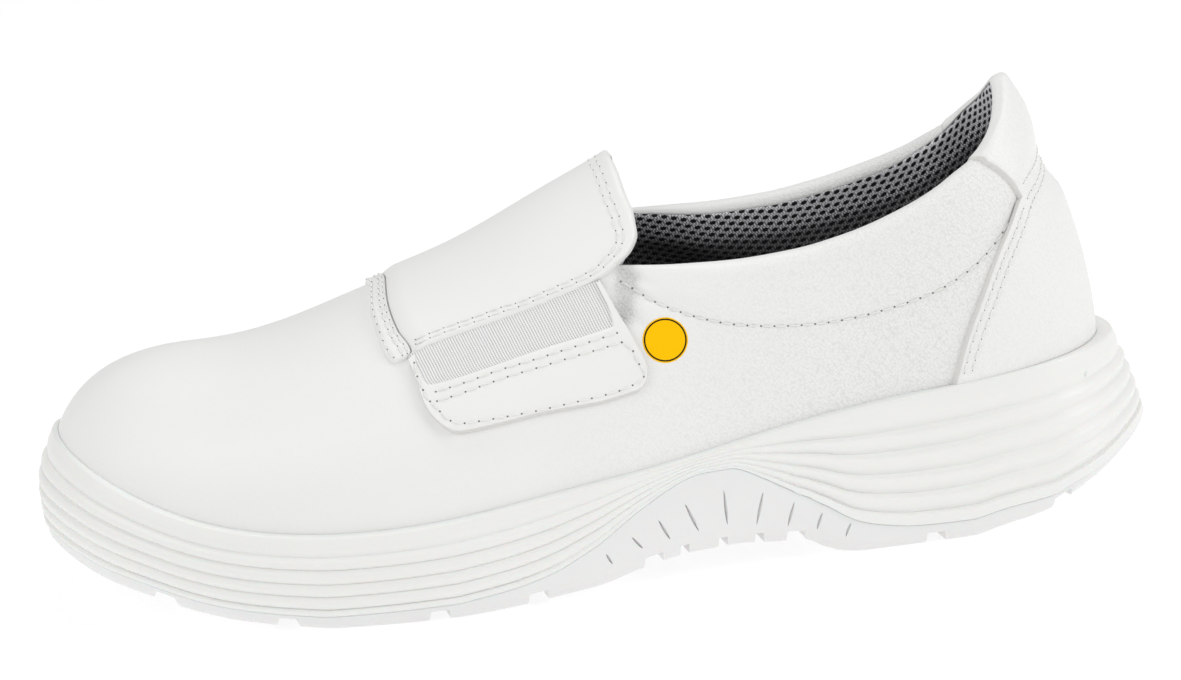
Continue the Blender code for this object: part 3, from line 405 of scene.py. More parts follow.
def whiteLeather(name, grain=1.0):
    # corrected cowhide, finished with a thin white coat and pressed with a fine pebble: satin, with more
    # grain towards the heel, where the skin is less stretched over the last, and most in the folds; the
    # pebble's creases and the folds are painted darker as the shade in them
    material, tree, shader = newMaterial(name, leather["roughness"], IOR=1.48, Coat_Weight=0.06,
                                         Coat_Roughness=0.35)
    place = addNode(tree, "TexCoord", out="Object")
    drawn = addNode(tree, "VectorRotate", {"Vector": place, "Angle": math.radians(leather["lie"])},
                    rotation_type="Y_AXIS")
    drawn = addNode(tree, "VectorMath", (drawn, (leather["drawn"], 1.0, 1.0)), operation="MULTIPLY")
    warp = addNode(tree, "TexNoise", {"Vector": place, "Scale": 0.5 / leather["grain"], "Detail": 1.0},
                   "Color")
    bent = addNode(tree, "VectorMath", (warp, (leather["warp"] * leather["grain"],) * 3, drawn),
                   operation="MULTIPLY_ADD")
    pebble = addNode(tree, "TexVoronoi", {"Vector": bent, "Scale": 1 / leather["grain"],
                                          "Randomness": leather["random"]}, "Distance")
    pore = addNode(tree, "TexNoise", {"Vector": place, "Scale": 1 / leather["pore"], "Detail": 2.0})
    cloud = addNode(tree, "TexNoise", {"Vector": place, "Scale": 1 / leather["cloud"], "Detail": 2.0})
    slope = addNode(tree, "VectorMath", (place, (1.0, 0.0, -0.8)), "Value", operation="DOT_PRODUCT")
    pull = addNode(tree, "MapRange", (slope, leather["smoothEnd"], leather["grainEnd"],
                                      leather["toeGrain"] * grain, grain))
    fold = addNode(tree, "SeparateXYZ", (addNode(tree, "UVMap", uv_map="foldDepth"),))
    fold = addNode(tree, "MapRange", (fold, 0.0, leather["foldFull"] / mapUnit),
                   interpolation_type="SMOOTHSTEP")
    pull = addNode(tree, "Math", (fold, leather["folded"], pull), operation="MULTIPLY_ADD")
    dome = addNode(tree, "Math", (1.0, pebble), operation="SUBTRACT")
    height = addNode(tree, "Math", (pore, leather["poreShare"], dome), operation="MULTIPLY_ADD")
    bump = addNode(tree, "Bump", {"Height": height, "Strength": pull, "Distance": leather["relief"]})
    tone = addNode(tree, "Mix", {0: cloud, 6: toLinear(leather["dark"]), 7: toLinear(leather["light"])},
                   2, data_type="RGBA")
    # painted shade: the pebble's creases are mixed towards the valley grey, more where the grain is
    # stronger
    creaseShade = addNode(tree, "MapRange", (pebble, leather["creaseStart"], leather["creaseEnd"],
                                        0.0, leather["creaseShade"]))
    shade = addNode(tree, "Math", (creaseShade, pull), operation="MULTIPLY")
    # painted shade: the leather in the hollows behind the flap is darker
    shade = addNode(tree, "Math", (fold, leather["foldShade"], shade), operation="MULTIPLY_ADD",
                    use_clamp=True)
    colour = addNode(tree, "Mix", {0: shade, 6: tone, 7: toLinear(leather["valley"])}, 2,
                     data_type="RGBA")
    least = leather["roughness"] - leather["gloss"] / 2
    rough = addNode(tree, "Math", (pore, leather["gloss"], least), operation="MULTIPLY_ADD")
    feed(tree, shader, {"Base Color": colour, "Normal": bump, "Roughness": rough})
    return material


def fibrous(name, dark, light, roughness, perMm, detail, strength, relief, **sockets):
    # loose short fibres that give both the tone and the relief
    material, tree, shader = newMaterial(name, roughness, **sockets)
    place = addNode(tree, "TexCoord", out="Object")
    fibre = addNode(tree, "TexNoise", {"Vector": place, "Scale": perMm / mm, "Detail": detail})
    tone = addNode(tree, "Mix", {0: fibre, 6: toLinear(dark), 7: toLinear(light)}, 2, data_type="RGBA")
    bump = addNode(tree, "Bump", {"Height": fibre, "Strength": strength, "Distance": relief})
    feed(tree, shader, {"Base Color": tone, "Normal": bump})
    return material


def mouldedUrethane(name, light, dark, roughness, relief):
    # polyurethane foamed or poured in a satin mould: closed skin, faint flow marks
    material, tree, shader = newMaterial(name, roughness, IOR=1.50, Subsurface_Weight=0.10,
                                         Subsurface_Scale=0.004)
    place = addNode(tree, "TexCoord", out="Object")
    flow = addNode(tree, "TexNoise", {"Vector": place, "Scale": 0.022 / mm, "Detail": 3.0,
                                      "Distortion": 0.6})
    satin = addNode(tree, "TexNoise", {"Vector": place, "Scale": 2.6 / mm, "Detail": 2.0})
    tone = addNode(tree, "Mix", {0: flow, 6: toLinear(dark), 7: toLinear(light)}, 2, data_type="RGBA")
    bump = addNode(tree, "Bump", {"Height": satin, "Strength": 0.25, "Distance": relief})
    feed(tree, shader, {"Base Color": tone, "Normal": bump})
    return material


# lengths without a unit are millimetres on the cloth map; the loops' painted highlight runs from the rim
# down to painted shade
mesh3d = {"yarn": "#1b1b1e", "paintedHighlight": "#fbfbff", "hole": "#020203", "pitch": 2.65, "row": 1.80,
          "wide": 0.86, "tall": 0.62, "slant": 0.55, "strand": 0.88, "lean": 0.50, "relief": 0.5 * mm,
          "bias": 9.0, "edge": (0.80, 1.15), "sharpness": 3.0, "valley": 0.2, "rise": 0.35, "rim": 1.5,
          "litDepth": 2.5, "shadedDepth": 10.5, "deepShade": 0.18, "heelStart": 30 * mm, "heelEnd": 105 * mm,
          "heelLight": 2.2}


def spacerMesh():
    # knitted spacer mesh of polyester yarn: staggered eyelets over black foam, slanting pairs of loops
    # between them, with a painted highlight on the loops near the rim and round the heel and painted shade
    # further down
    material, tree, shader = newMaterial("spacerMeshPolyester", 0.80, Sheen_Weight=0.10,
                                         Sheen_Roughness=0.5)
    cloth = addNode(tree, "UVMap", uv_map="clothMm")
    pitch, row = mesh3d["pitch"], mesh3d["row"]
    down = addNode(tree, "SeparateXYZ", (cloth,), 1)
    turned = addNode(tree, "VectorRotate", {"Vector": cloth, "Angle": math.radians(mesh3d["bias"])},
                     rotation_type="Z_AXIS")
    cells = addNode(tree, "VectorMath", (turned, (mapMm / pitch, mapMm / row, 0.0)),
                    operation="MULTIPLY")
    across = addNode(tree, "SeparateXYZ", (cells,))
    level = addNode(tree, "Math", (across.node.outputs[1],), operation="FLOOR")
    shifted = addNode(tree, "Math", (level, 0.5, across), operation="MULTIPLY_ADD")
    cells = addNode(tree, "CombineXYZ", (shifted, across.node.outputs[1]))
    cells = addNode(tree, "VectorMath", (cells,), operation="FRACTION")
    cells = addNode(tree, "VectorMath", (cells, (pitch, row, 0.0), (-pitch / 2, -row / 2, 0.0)),
                    operation="MULTIPLY_ADD")
    x = addNode(tree, "SeparateXYZ", (cells,))
    y = x.node.outputs[1]
    slanted = addNode(tree, "Math", (y, -mesh3d["slant"], x), operation="MULTIPLY_ADD")
    eyelet = addNode(tree, "CombineXYZ", (slanted, y))
    eyelet = addNode(tree, "VectorMath", (eyelet, (mesh3d["wide"], mesh3d["tall"], 1.0)),
                     operation="DIVIDE")
    far = addNode(tree, "VectorMath", (eyelet,), "Value", operation="LENGTH")
    solid = addNode(tree, "MapRange", (far, mesh3d["edge"][0], mesh3d["edge"][1]))
    leaning = addNode(tree, "Math", (y, mesh3d["lean"], x), operation="MULTIPLY_ADD")
    leaning = addNode(tree, "Math", (leaning, math.pi / mesh3d["strand"]), operation="MULTIPLY")
    loops = addNode(tree, "Math", (leaning,), operation="COSINE")
    loops = addNode(tree, "Math", (loops,), operation="ABSOLUTE")
    ridge = addNode(tree, "Math", (loops, mesh3d["sharpness"]), operation="POWER")
    ridge = addNode(tree, "Math", (ridge, 1 - mesh3d["valley"], mesh3d["valley"]),
                    operation="MULTIPLY_ADD")
    # painted highlight on the loops near the rim, fading to painted shade further down the lining
    paintedRimLight = addNode(tree, "MapRange", (down, mesh3d["litDepth"] / mapMm, mesh3d["shadedDepth"] / mapMm,
                                      mesh3d["rim"], mesh3d["deepShade"]))
    place = addNode(tree, "SeparateXYZ", (addNode(tree, "TexCoord", out="Object"),))
    pull = addNode(tree, "MapRange", (place, mesh3d["heelStart"], mesh3d["heelEnd"], 1.0,
                                      mesh3d["heelLight"]))      # painted light, stronger round the heel
    paintedRimLight = addNode(tree, "Math", (paintedRimLight, pull), operation="MULTIPLY")
    ridge = addNode(tree, "Math", (ridge, paintedRimLight), operation="MULTIPLY")
    yarn = addNode(tree, "Mix", {0: ridge, 6: toLinear(mesh3d["yarn"]), 7: toLinear(mesh3d["paintedHighlight"])}, 2,
                   data_type="RGBA")
    colour = addNode(tree, "Mix", {0: solid, 6: toLinear(mesh3d["hole"]), 7: yarn}, 2, data_type="RGBA")
    height = addNode(tree, "Math", (loops, mesh3d["rise"], 1 - mesh3d["rise"]),
                     operation="MULTIPLY_ADD")
    height = addNode(tree, "Math", (solid, height), operation="MULTIPLY")
    bump = addNode(tree, "Bump", {"Height": height, "Strength": 0.8, "Distance": mesh3d["relief"]})
    feed(tree, shader, {"Base Color": colour, "Normal": bump})
    return material


# spacing of the cords and of the weft in millimetres on the cloth map
elastic = {"cord": 0.72, "weft": 0.62, "relief": 0.20 * mm, "light": "#f2f2f1", "dark": "#bcbcbb",
           "slant": 0.10, "weftRise": 0.35, "grooveShade": (0.25, 1.05)}


def wovenElastic():
    # flat woven elastic: covered rubber cords side by side, bound by a fine weft, matt, with shade painted
    # into the grooves
    material, tree, shader = newMaterial("wovenElasticWhite", 0.9, Sheen_Weight=0.2, Sheen_Roughness=0.5)
    cloth = addNode(tree, "UVMap", uv_map="clothMm")
    x = addNode(tree, "SeparateXYZ", (cloth,))
    y = x.node.outputs[1]
    slanted = addNode(tree, "Math", (y, elastic["slant"], x), operation="MULTIPLY_ADD")
    waves = []
    for length, name in ((slanted, "cord"), (y, "weft")):
        turns = addNode(tree, "Math", (length, mapMm * math.pi / elastic[name]),
                        operation="MULTIPLY")
        wave = addNode(tree, "Math", (turns,), operation="SINE")
        waves.append(addNode(tree, "Math", (wave,), operation="ABSOLUTE"))
    cord, weft = waves
    height = addNode(tree, "Math", (weft, elastic["weftRise"], cord), operation="MULTIPLY_ADD")
    # painted shade: the grooves between the cords and under the weft are darker
    light = addNode(tree, "MapRange", (height, elastic["grooveShade"][0], elastic["grooveShade"][1]))
    colour = addNode(tree, "Mix", {0: light, 6: toLinear(elastic["dark"]), 7: toLinear(elastic["light"])},
                     2, data_type="RGBA")
    bump = addNode(tree, "Bump", {"Height": height, "Strength": 0.7, "Distance": elastic["relief"]})
    feed(tree, shader, {"Base Color": colour, "Normal": bump})
    return material


def plainFinish(name, code, roughness, grain, **sockets):
    # one colour with a fine grain of the given size
    material, tree, shader = newMaterial(name, roughness, **sockets)
    place = addNode(tree, "TexCoord", out="Object")
    grain = addNode(tree, "TexNoise", {"Vector": place, "Scale": 1 / grain, "Detail": 2.0})
    bump = addNode(tree, "Bump", {"Height": grain, "Strength": 0.3, "Distance": 0.05 * mm})
    feed(tree, shader, {"Base Color": toLinear(code), "Normal": bump})
    return material


upperLeather = whiteLeather("whiteCorrectedLeather")
softLeather = whiteLeather("whiteSoftCollarLeather", 0.9)
overlayLeather = whiteLeather("whiteOverlayLeather", 0.35)
# raw cut edge of the split under the white coat: fibrous, greyer and dull
edgeLeather = fibrous("cutLeatherEdge", "#d2d1ce", "#e4e3e0", 0.85, 1.5, 4.0, 0.5, 0.1 * mm)
foamSkin = mouldedUrethane("foamedUrethaneWhite", "#f0f0ee", "#ecece9", 0.42, 0.03 * mm)
compactSkin = mouldedUrethane("compactUrethaneWhite", "#ececeb", "#e7e7e6", 0.38, 0.03 * mm)
liningMesh = spacerMesh()
elasticWeave = wovenElastic()
# needled felt over foam: short grey fibres
felt = fibrous("needledFeltGrey", "#3c3d40", "#6d6e72", 0.95, 0.9, 5.0, 0.6, 0.3 * mm, Sheen_Weight=0.3)
# thread is twisted and slightly glossy, a needle hole a dark pit at each end of it
thread = plainFinish("bondedPolyesterThread", "#ecece9", 0.6, 0.25 * mm)
needleHole = plainFinish("needleHoleShadow", "#6c6c6a", 0.9, mm / 3)
# screen print dries to a flat matt film
signYellow = plainFinish("screenPrintYellow", "#ffc500", 0.8, 0.40 * mm, Specular_IOR_Level=0.1)
signDark = plainFinish("screenPrintBlack", "#141413", 0.8, 0.40 * mm, Specular_IOR_Level=0.1)
print("materials are ready")


# mesh building

def turnOutward(mesh):
    work = bmesh.new()
    work.from_mesh(mesh)
    bmesh.ops.recalc_face_normals(work, faces=work.faces)
    work.to_mesh(mesh)
    work.free()


class Builder:
    def __init__(self):
        self.points, self.faces, self.slots, self.cloth = [], [], [], []

    def add(self, points, cloth=None):
        points = np.asarray(points, float)
        flat = points.reshape(-1, 3)
        first = len(self.points)
        self.points.extend(flat.tolist())
        cloth = np.zeros((len(flat), 2)) if cloth is None else np.asarray(cloth, float).reshape(-1, 2)
        self.cloth.extend(cloth.tolist())
        return np.arange(first, first + len(flat)).reshape(points.shape[:-1])

    def face(self, ids, slot=0):
        ids = [int(i) for i in ids]
        clean = [a for a, b in zip(ids, ids[1:] + ids[:1]) if a != b]
        if len(clean) > 2:
            self.faces.append(clean)
            self.slots.append(slot)

    def sheet(self, ids, closed=False, slot=0):
        ids = np.hstack([ids, ids[:, :1]]) if closed else np.asarray(ids)
        quads = np.stack([ids[:-1, :-1], ids[:-1, 1:], ids[1:, 1:], ids[1:, :-1]], -1).reshape(-1, 4)
        for quad in quads.tolist():
            self.face(quad, slot)

    def loft(self, rows):            # closed rings of points joined one to the next
        ids = self.add(np.array(rows))
        self.sheet(ids, closed=True)
        return ids

    def ladder(self, ring, ringPoints, height, shares):
        # fills a ring that runs from the toe round the foot, with rows from side to side
        half = len(ring) // 2
        rows = [[ring[0]]]
        for i in range(1, half):
            one, two = ringPoints[i], ringPoints[-i]
            inner = np.array([one + (two - one) * share for share in shares])
            inner[:, 2] = height(inner[:, 0])
            rows.append([ring[i]] + self.add(inner).tolist() + [ring[-i]])
        rows.append([ring[half]])
        for one, two in zip(rows, rows[1:]):
            if len(one) == 1 or len(two) == 1:
                tip, row = (one[0], two) if len(one) == 1 else (two[0], one)
                for a, b in zip(row, row[1:]):
                    self.face([tip, a, b])
            else:
                self.sheet(np.array([one, two]))

    def rim(self, ids, lowIds, slot):      # joins the borders of two grids
        borders = [np.concatenate([g[0], g[1:, -1], g[-1, -2::-1], g[-2:0:-1, 0]]) for g in (ids, lowIds)]
        self.sheet(np.array(borders), closed=True, slot=slot)

    def build(self, name, materials, smooth, node, slot, cloth=None):
        mesh = bpy.data.meshes.new(name)
        points = np.array(self.points) + frameShift
        mesh.from_pydata(points.tolist(), [], self.faces)
        for material in materials:
            mesh.materials.append(material)
        mesh.polygons.foreach_set("material_index", self.slots)
        if cloth:
            corners = np.zeros(len(mesh.loops), int)
            mesh.loops.foreach_get("vertex_index", corners)
            layer = mesh.uv_layers.new(name=cloth)
            layer.data.foreach_set("uv", (np.array(self.cloth)[corners] / mapUnit).ravel())
        turnOutward(mesh)
        mesh.shade_smooth()
        mesh.set_sharp_from_angle(angle=math.radians(smooth))
        piece = bpy.data.objects.new(name, mesh)
        bpy.context.collection.objects.link(piece)
        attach(piece, "root")
        if node:
            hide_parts(node)
        return piece


def evenRing(name):
    return np.arange(ringCounts[name]) * 2.0 / ringCounts[name]


soleRing = evenRing("sole")


# foamed midsole: rolled rim, soft ribs that gather at the waist, cup for the outsole plate

# places from toe to heel: behind the waist each rib leans, swelling out fast and falling back slowly,
# and behind the heel the crisp ribs turn into broad waves
ribs = {"lines": (0.0, 0.24, 0.40, 0.58, 0.74, 0.91, 1.0), "rows": 12, "roundness": 0.62,
        "beadEnds": (0.42, 0.54), "soft": 0.75, "deepen": 0.5, "step": 0.17, "leaning": (0.56, 0.66),
        "waves": (0.76, 0.92), "swollen": (0.60, 0.72), "settled": (0.82, 0.94)}
# bonded joints, closed but for a hair; the foam runs up the leather and stops under the counter
joint = {"open": 0.06 * mm, "depth": 0.60 * mm, "lip": 0.20 * mm, "weld": 0.50 * mm, "weldLevel": 0.010,
         "weldEnds": (0.77, 0.80)}
nub = {"place": (0.920, 0.17), "radius": 0.8 * mm, "height": 0.35 * mm,    # vent mark of the mould
       "form": ((0.9, -2.0), (1.0, 0.0), (0.85, 0.6), (0.5, 0.95))}


def wallOut(s, z):
    top = featherZ(s)
    base = treadZ(footX(s))
    wide = top - fullest(s) * (top - base)
    rim = rimShare(s) * flare(s)
    down = np.clip((top - z) / (top - wide), 0, 1)
    tuck = np.clip((wide - z) / np.maximum(wide - base, 0.001), 0, 1)
    return rim + (flare(s) - rim) * np.sin(down * math.pi / 2) - sole["edgeRound"] * tuck ** 2


def sideX(s):
    return footX(s) + outward(s)[0] * flare(s)


def sideY(s):
    return footY(s) + outward(s)[1] * flare(s)


def ribHeight(s):
    wallShare = (featherZ(s) - edgeZ(sideX(s))) / (0.5 * shoe["soleHeight"])
    return sole["ribDepth"] * np.clip(wallShare, 0.25, 1)


def addNub(shape, s):
    top, base = featherZ(s), treadZ(footX(s))
    z = top - nub["place"][1] * (top - base)
    centre = plan(s, wallOut(s, z), z)[0]
    nx, ny = (float(v[0]) for v in outward(s))
    normal, side, up = np.array([nx, ny, 0.0]), np.array([-ny, nx, 0.0]), np.array([0.0, 0.0, 1.0])
    rim = spokes(16, side, up)
    rows = [centre + rim * nub["radius"] * wide + normal * nub["height"] * out
            for wide, out in nub["form"]]
    ids = shape.loft(rows)
    shape.face(ids[0][::-1])
    shape.face(ids[-1])


def makeMidsole():
    shape = Builder()
    s, u = soleRing, placeOf(soleRing)
    top, low = featherZ(s), edgeZ(sideX(s)) + joint["open"]
    lip = rimShare(s) * flare(s)
    weld = 1 - ease(u, *joint["weldEnds"])
    rows = [plan(s, gap, top - joint["depth"]), lay(s, joint["weldLevel"] * weld, joint["open"])]
    for turn in np.linspace(0.12, 1.0, 8):         # rounded lip of the rim
        out = joint["open"] + (gap - joint["open"] + lip) * (0.5 - 0.5 * math.cos(math.pi * turn))
        climb = joint["weld"] * weld * (1 - turn) ** 4
        rows.append(plan(s, out, top + climb + sole["rimRise"] * math.sin(math.pi * turn)))
    beads = 1 - ease(u, *ribs["beadEnds"])
    leaning = ease(u, *ribs["leaning"])
    waves = ease(u, *ribs["waves"])
    swollen = ease(u, *ribs["swollen"]) * (1 - ease(u, *ribs["settled"]))
    for start, end in zip(ribs["lines"], ribs["lines"][1:]):
        for place in (np.arange(ribs["rows"]) + (0.5 if start == 0.0 else 0.0)) / ribs["rows"]:
            share = start + (end - start) * place
            z = top + (low - top) * share
            arc = (1 - (2 * place - 1) ** 2) ** ribs["roundness"]
            if start == 0.0:                        # the top band runs smoothly out of the lip
                arc = 1 - max(place, 0.5) ** 3
            else:
                past = max(0.0, (place - ribs["step"]) / (1 - ribs["step"]))
                lean = min(1.0, place / ribs["step"]) * (1 - past ** 2)
                arc = arc + (lean - arc) * leaning
            wave = arc if start == 0.0 else 0.5 - 0.5 * math.cos(2 * math.pi * place)
            arc = arc + (wave - arc) * waves * ribs["soft"]
            depth = ribHeight(s) * (beads if end == 1.0 else 1.0) * (1 + ribs["deepen"] * swollen)
            rows.append(plan(s, wallOut(s, z) + (arc - 0.5) * depth + 0.5 * (ribHeight(s) - depth), z))
    rows.append(plan(s, wallOut(s, low), low))
    rows.append(plan(s, wallOut(s, low) - sole["wingWall"] - gap, low))
    under = planAt(s, wallOut(s, low) - sole["wingWall"] - sole["plateStep"] - gap,
                   lambda x: np.minimum(plateZ(x) + gap, low))
    rows.append(under)
    ids = shape.loft(rows)
    shape.ladder(ids[-1], under, lambda x: plateZ(x) + gap, (0.25, 0.5, 0.75))
    seat = planAt(s, gap - wall["inset"], seatZ)
    seatIds = shape.add(seat)
    shape.sheet(np.array([ids[0], seatIds]), closed=True)
    shape.ladder(seatIds, seat, seatZ, (0.2, 0.4, 0.6, 0.8))
    for place in (nub["place"][0], 2 - nub["place"][0]):
        addNub(shape, np.array([place]))
    shape.build("midsoleFoam", [foamSkin], 50, "midsole", "midsole_pu")


makeMidsole()


# compact outsole: plate with toe and heel lugs, side wing at the waist with leaf-shaped recesses

grooves = (-0.395, -0.292, -0.161, -0.074, 0.031, 0.160, 0.285, 0.402)
notches = (0.059, 0.094, 0.127)
channels = ((0.10, 0.44), (0.72, 0.90))
leafSlits = ((-0.012, 0.70, -0.007, 0.40), (0.012, 0.68, 0.021, 0.37), (0.037, 0.69, 0.046, 0.31),
             (0.062, 0.72, 0.072, 0.29), (0.098, 0.76, 0.098, 0.30), (0.133, 0.81, 0.124, 0.27),
             (0.160, 0.81, 0.152, 0.29), (0.184, 0.81, 0.178, 0.35), (0.209, 0.88, 0.203, 0.41))
wallPlaces = np.linspace(0.0, 1.0, 161)


def prism(shape, sections):
    ids = shape.loft(sections)
    shape.face(ids[0])
    shape.face(ids[-1])


def grooveCutters():
    shape = Builder()
    for places, width in ((grooves, tread["groove"]), (notches, tread["notch"])):
        for along in places:
            edge = along * shoe["length"]
            depth = min(tread["depth"], 0.7 * (edgeZ(edge) - treadZ(edge)))
            half = np.interp(edge, sideX(wallPlaces), -sideY(wallPlaces))
            sections = []
            for share in np.linspace(-1.25, 1.25, 15):
                x = edge - tread["bow"] * (1 - share ** 2)
                sections.append([(x + k * width, share * half, treadZ(x + k * width) + h * depth)
                                 for k, h in ((-0.6, -2.0), (0.6, -2.0), (0.4, 1.0), (-0.4, 1.0))])
            prism(shape, sections)
    return shape


def channelCutters():
    shape = Builder()
    for start, end in channels:
        sections = []
        for u in np.linspace(start, end, 25):
            x, y = footX(u), 0.5 * (footY(u) + footY(2 - u))
            wide, narrow = 0.5 * tread["channel"], 0.35 * tread["channel"]
            low, high = treadZ(x) - 2 * tread["depth"], treadZ(x) + tread["depth"]
            sections.append([(x, y - wide, low), (x, y + wide, low), (x, y + narrow, high),
                             (x, y - narrow, high)])
        prism(shape, sections)
    return shape


def wingPoint(along, level, side, out):
    u = np.interp(along * shoe["length"], sideX(wallPlaces), wallPlaces)
    s = u if side == "lateral" else 2 - u
    base, top = treadZ(sideX(s)), edgeZ(sideX(s))
    z = base + level * (top - base)
    return plan(s, wallOut(s, z) + out, z)


def slitCutters():
    shape = Builder()
    outline = [(share, 0.5 * math.sin(math.pi * share) ** 0.8) for share in np.linspace(0, 1, 9)[1:-1]]
    outline = [(0.0, 0.0)] + outline + [(1.0, 0.0)] + [(share, -wide) for share, wide in outline[::-1]]
    for side in ("lateral", "medial"):
        for topAlong, topLevel, lowAlong, lowLevel in leafSlits:
            sections = []
            for out in (-tread["slitDepth"], tread["slitDepth"]):
                top = wingPoint(topAlong, topLevel, side, out)
                run = wingPoint(lowAlong, lowLevel, side, out) - top
                across = np.array([run[2], 0.0, -run[0]]) / np.hypot(run[0], run[2])
                narrow, front = tread["slitFloor" if out < 0 else "slitMouth"]
                sections.append([top + run * share
                                 + across * tread["slit"] * (wide * narrow + abs(wide) * front)
                                 for share, wide in outline])
            prism(shape, sections)
    return shape


def cutAway(piece, cutterShape, name):
    mesh = bpy.data.meshes.new(name)
    mesh.from_pydata((np.array(cutterShape.points) + frameShift).tolist(), [], cutterShape.faces)
    turnOutward(mesh)
    cutter = bpy.data.objects.new(name, mesh)
    bpy.context.collection.objects.link(cutter)
    cut = piece.modifiers.new(name, "BOOLEAN")
    cut.operation, cut.solver, cut.object = "DIFFERENCE", "EXACT", cutter
    seen = bpy.context.evaluated_depsgraph_get()
    result = bpy.data.meshes.new_from_object(piece.evaluated_get(seen))
    piece.modifiers.remove(cut)
    old, piece.data = piece.data, result
    bpy.data.meshes.remove(old)
    bpy.data.objects.remove(cutter, do_unlink=True)
    bpy.data.meshes.remove(mesh)


def makeOutsole():
    shape = Builder()
    s = evenRing("outsole")
    top, base = edgeZ(sideX(s)), treadZ(sideX(s))
    soft = np.minimum(sole["edgeRound"], 0.45 * (top - base))
    lip = joint["lip"]
    rows = [plan(s, wallOut(s, top) - lip, top)]
    for share in (0.0, 0.2, 0.4, 0.6, 0.8, 1.0):
        z = top - lip + (base + soft - top + lip) * share
        rows.append(plan(s, wallOut(s, z), z))
    for turn in (30, 60, 90):
        angle = math.radians(turn)
        height = treadZ if turn == 90 else lambda x: base + soft * (1 - math.sin(angle))
        rows.append(planAt(s, wallOut(s, base) - soft * (1 - math.cos(angle)), height))
    ids = shape.loft(rows)
    shape.ladder(ids[-1], rows[-1], treadZ, (0.125, 0.25, 0.375, 0.5, 0.625, 0.75, 0.875))
    wing = shape.add(plan(s, wallOut(s, top) - sole["wingWall"], top))
    plate = planAt(s, wallOut(s, top) - sole["wingWall"] - sole["plateStep"],
                   lambda x: np.minimum(plateZ(x), top))
    plateIds = shape.add(plate)
    shape.sheet(np.array([ids[0], wing, plateIds]), closed=True)
    shape.ladder(plateIds, plate, plateZ, (0.25, 0.5, 0.75))
    piece = shape.build("outsoleCompact", [compactSkin], 30, "outsole", "outsole_pu")
    for name, cutters in zip(("grooves", "channels", "leaves"),
                             (grooveCutters, channelCutters, slitCutters)):
        cutAway(piece, cutters(), name)
    piece.data.shade_smooth()
    piece.data.set_sharp_from_angle(angle=math.radians(30))


makeOutsole()


def makeInsole():
    shape = Builder()
    edge = -wall["inset"] - wall["leather"] - gap
    rows = []
    for share, inset in ((0.0, 0.0), (0.7, 0.0), (0.9, 0.0003), (1.0, 0.0010)):
        rows.append(planAt(soleRing, edge - inset, lambda x: seatZ(x) + gap + share * wall["insole"]))
    ids = shape.loft(rows)
    shares = np.linspace(0, 1, 12)[1:-1]
    shape.ladder(ids[0], rows[0], lambda x: seatZ(x) + gap, (0.33, 0.67))
    shape.ladder(ids[-1], rows[-1], lambda x: seatZ(x) + gap + wall["insole"], shares)
    shape.build("insoleFelt", [felt], 40, "insole", "insole_textile")


makeInsole()
print("sole is ready")


# upper: vamp and quarters, padded collar, lining

collar = {"rows": 26, "rollRows": 16, "wrap": 0.76, "wrapMore": 0.13, "tuck": 0.5 * mm, "under": 0.04,
          "seamDepth": 0.5 * mm, "seamWidth": 0.022, "pucker": 0.10 * mm, "puckerWidth": 0.05,
          "puckerPitch": 3.8 * mm, "stitch": 3.6 * mm, "lastPlace": 0.886, "fill": 0.6,
          "tucks": ((0.012, -0.25), (0.022, -1.0))}
lining = {"rollRows": 8, "rows": 44, "frontRows": 24, "frontEnd": 0.965, "frontStart": 0.966}
leatherRows = {"low": 54, "high": 36}
girth, rise = 305 * mm, 58 * mm          # round the foot and up the quarter, to turn places into lengths


def seamTrough(s, level):
    u = placeOf(s)
    above = level - padLine(u)
    near = np.exp(-(above / collar["seamWidth"]) ** 2) * ease(u, throat, throat + 0.02)
    ripple = np.sin(s * girth / collar["puckerPitch"] * 2 * math.pi)
    ripple = ripple * np.exp(-(above / collar["puckerWidth"]) ** 2) * ease(u, throat, throat + 0.05)
    return collar["pucker"] * ripple - collar["seamDepth"] * near


# soft hollows where the quarter gives way behind the flap: start and end as place and level,
# depth, half width
hollows = (((0.551, 0.97), (0.543, 0.76), 1.60 * mm, 3.3 * mm),
           ((0.548, 0.90), (0.566, 0.84), 0.28 * mm, 1.7 * mm),
           ((0.544, 0.81), (0.560, 0.72), 0.26 * mm, 1.7 * mm),
           ((0.553, 0.97), (0.572, 0.93), 0.24 * mm, 1.6 * mm))


def relief(s, level):
    u = placeOf(s)
    total = seamTrough(s, level)
    for (u1, level1), (u2, level2), depth, wide in hollows:
        runU, runUp = (u2 - u1) * girth, (level2 - level1) * rise
        du, up = (u - u1) * girth, (level - level1) * rise
        share = np.clip((du * runU + up * runUp) / (runU ** 2 + runUp ** 2), 0, 1)
        far = np.hypot(du - share * runU, up - share * runUp)
        total = total - depth * np.exp(-(far / wide) ** 2)
    return total


def foldDepth(s, level):         # how far the skin sinks in the hollows, kept in a map for the leather's grain and its painted shade
    depth = seamTrough(s, level) - relief(s, level)
    return np.stack([depth, 0 * depth], -1)


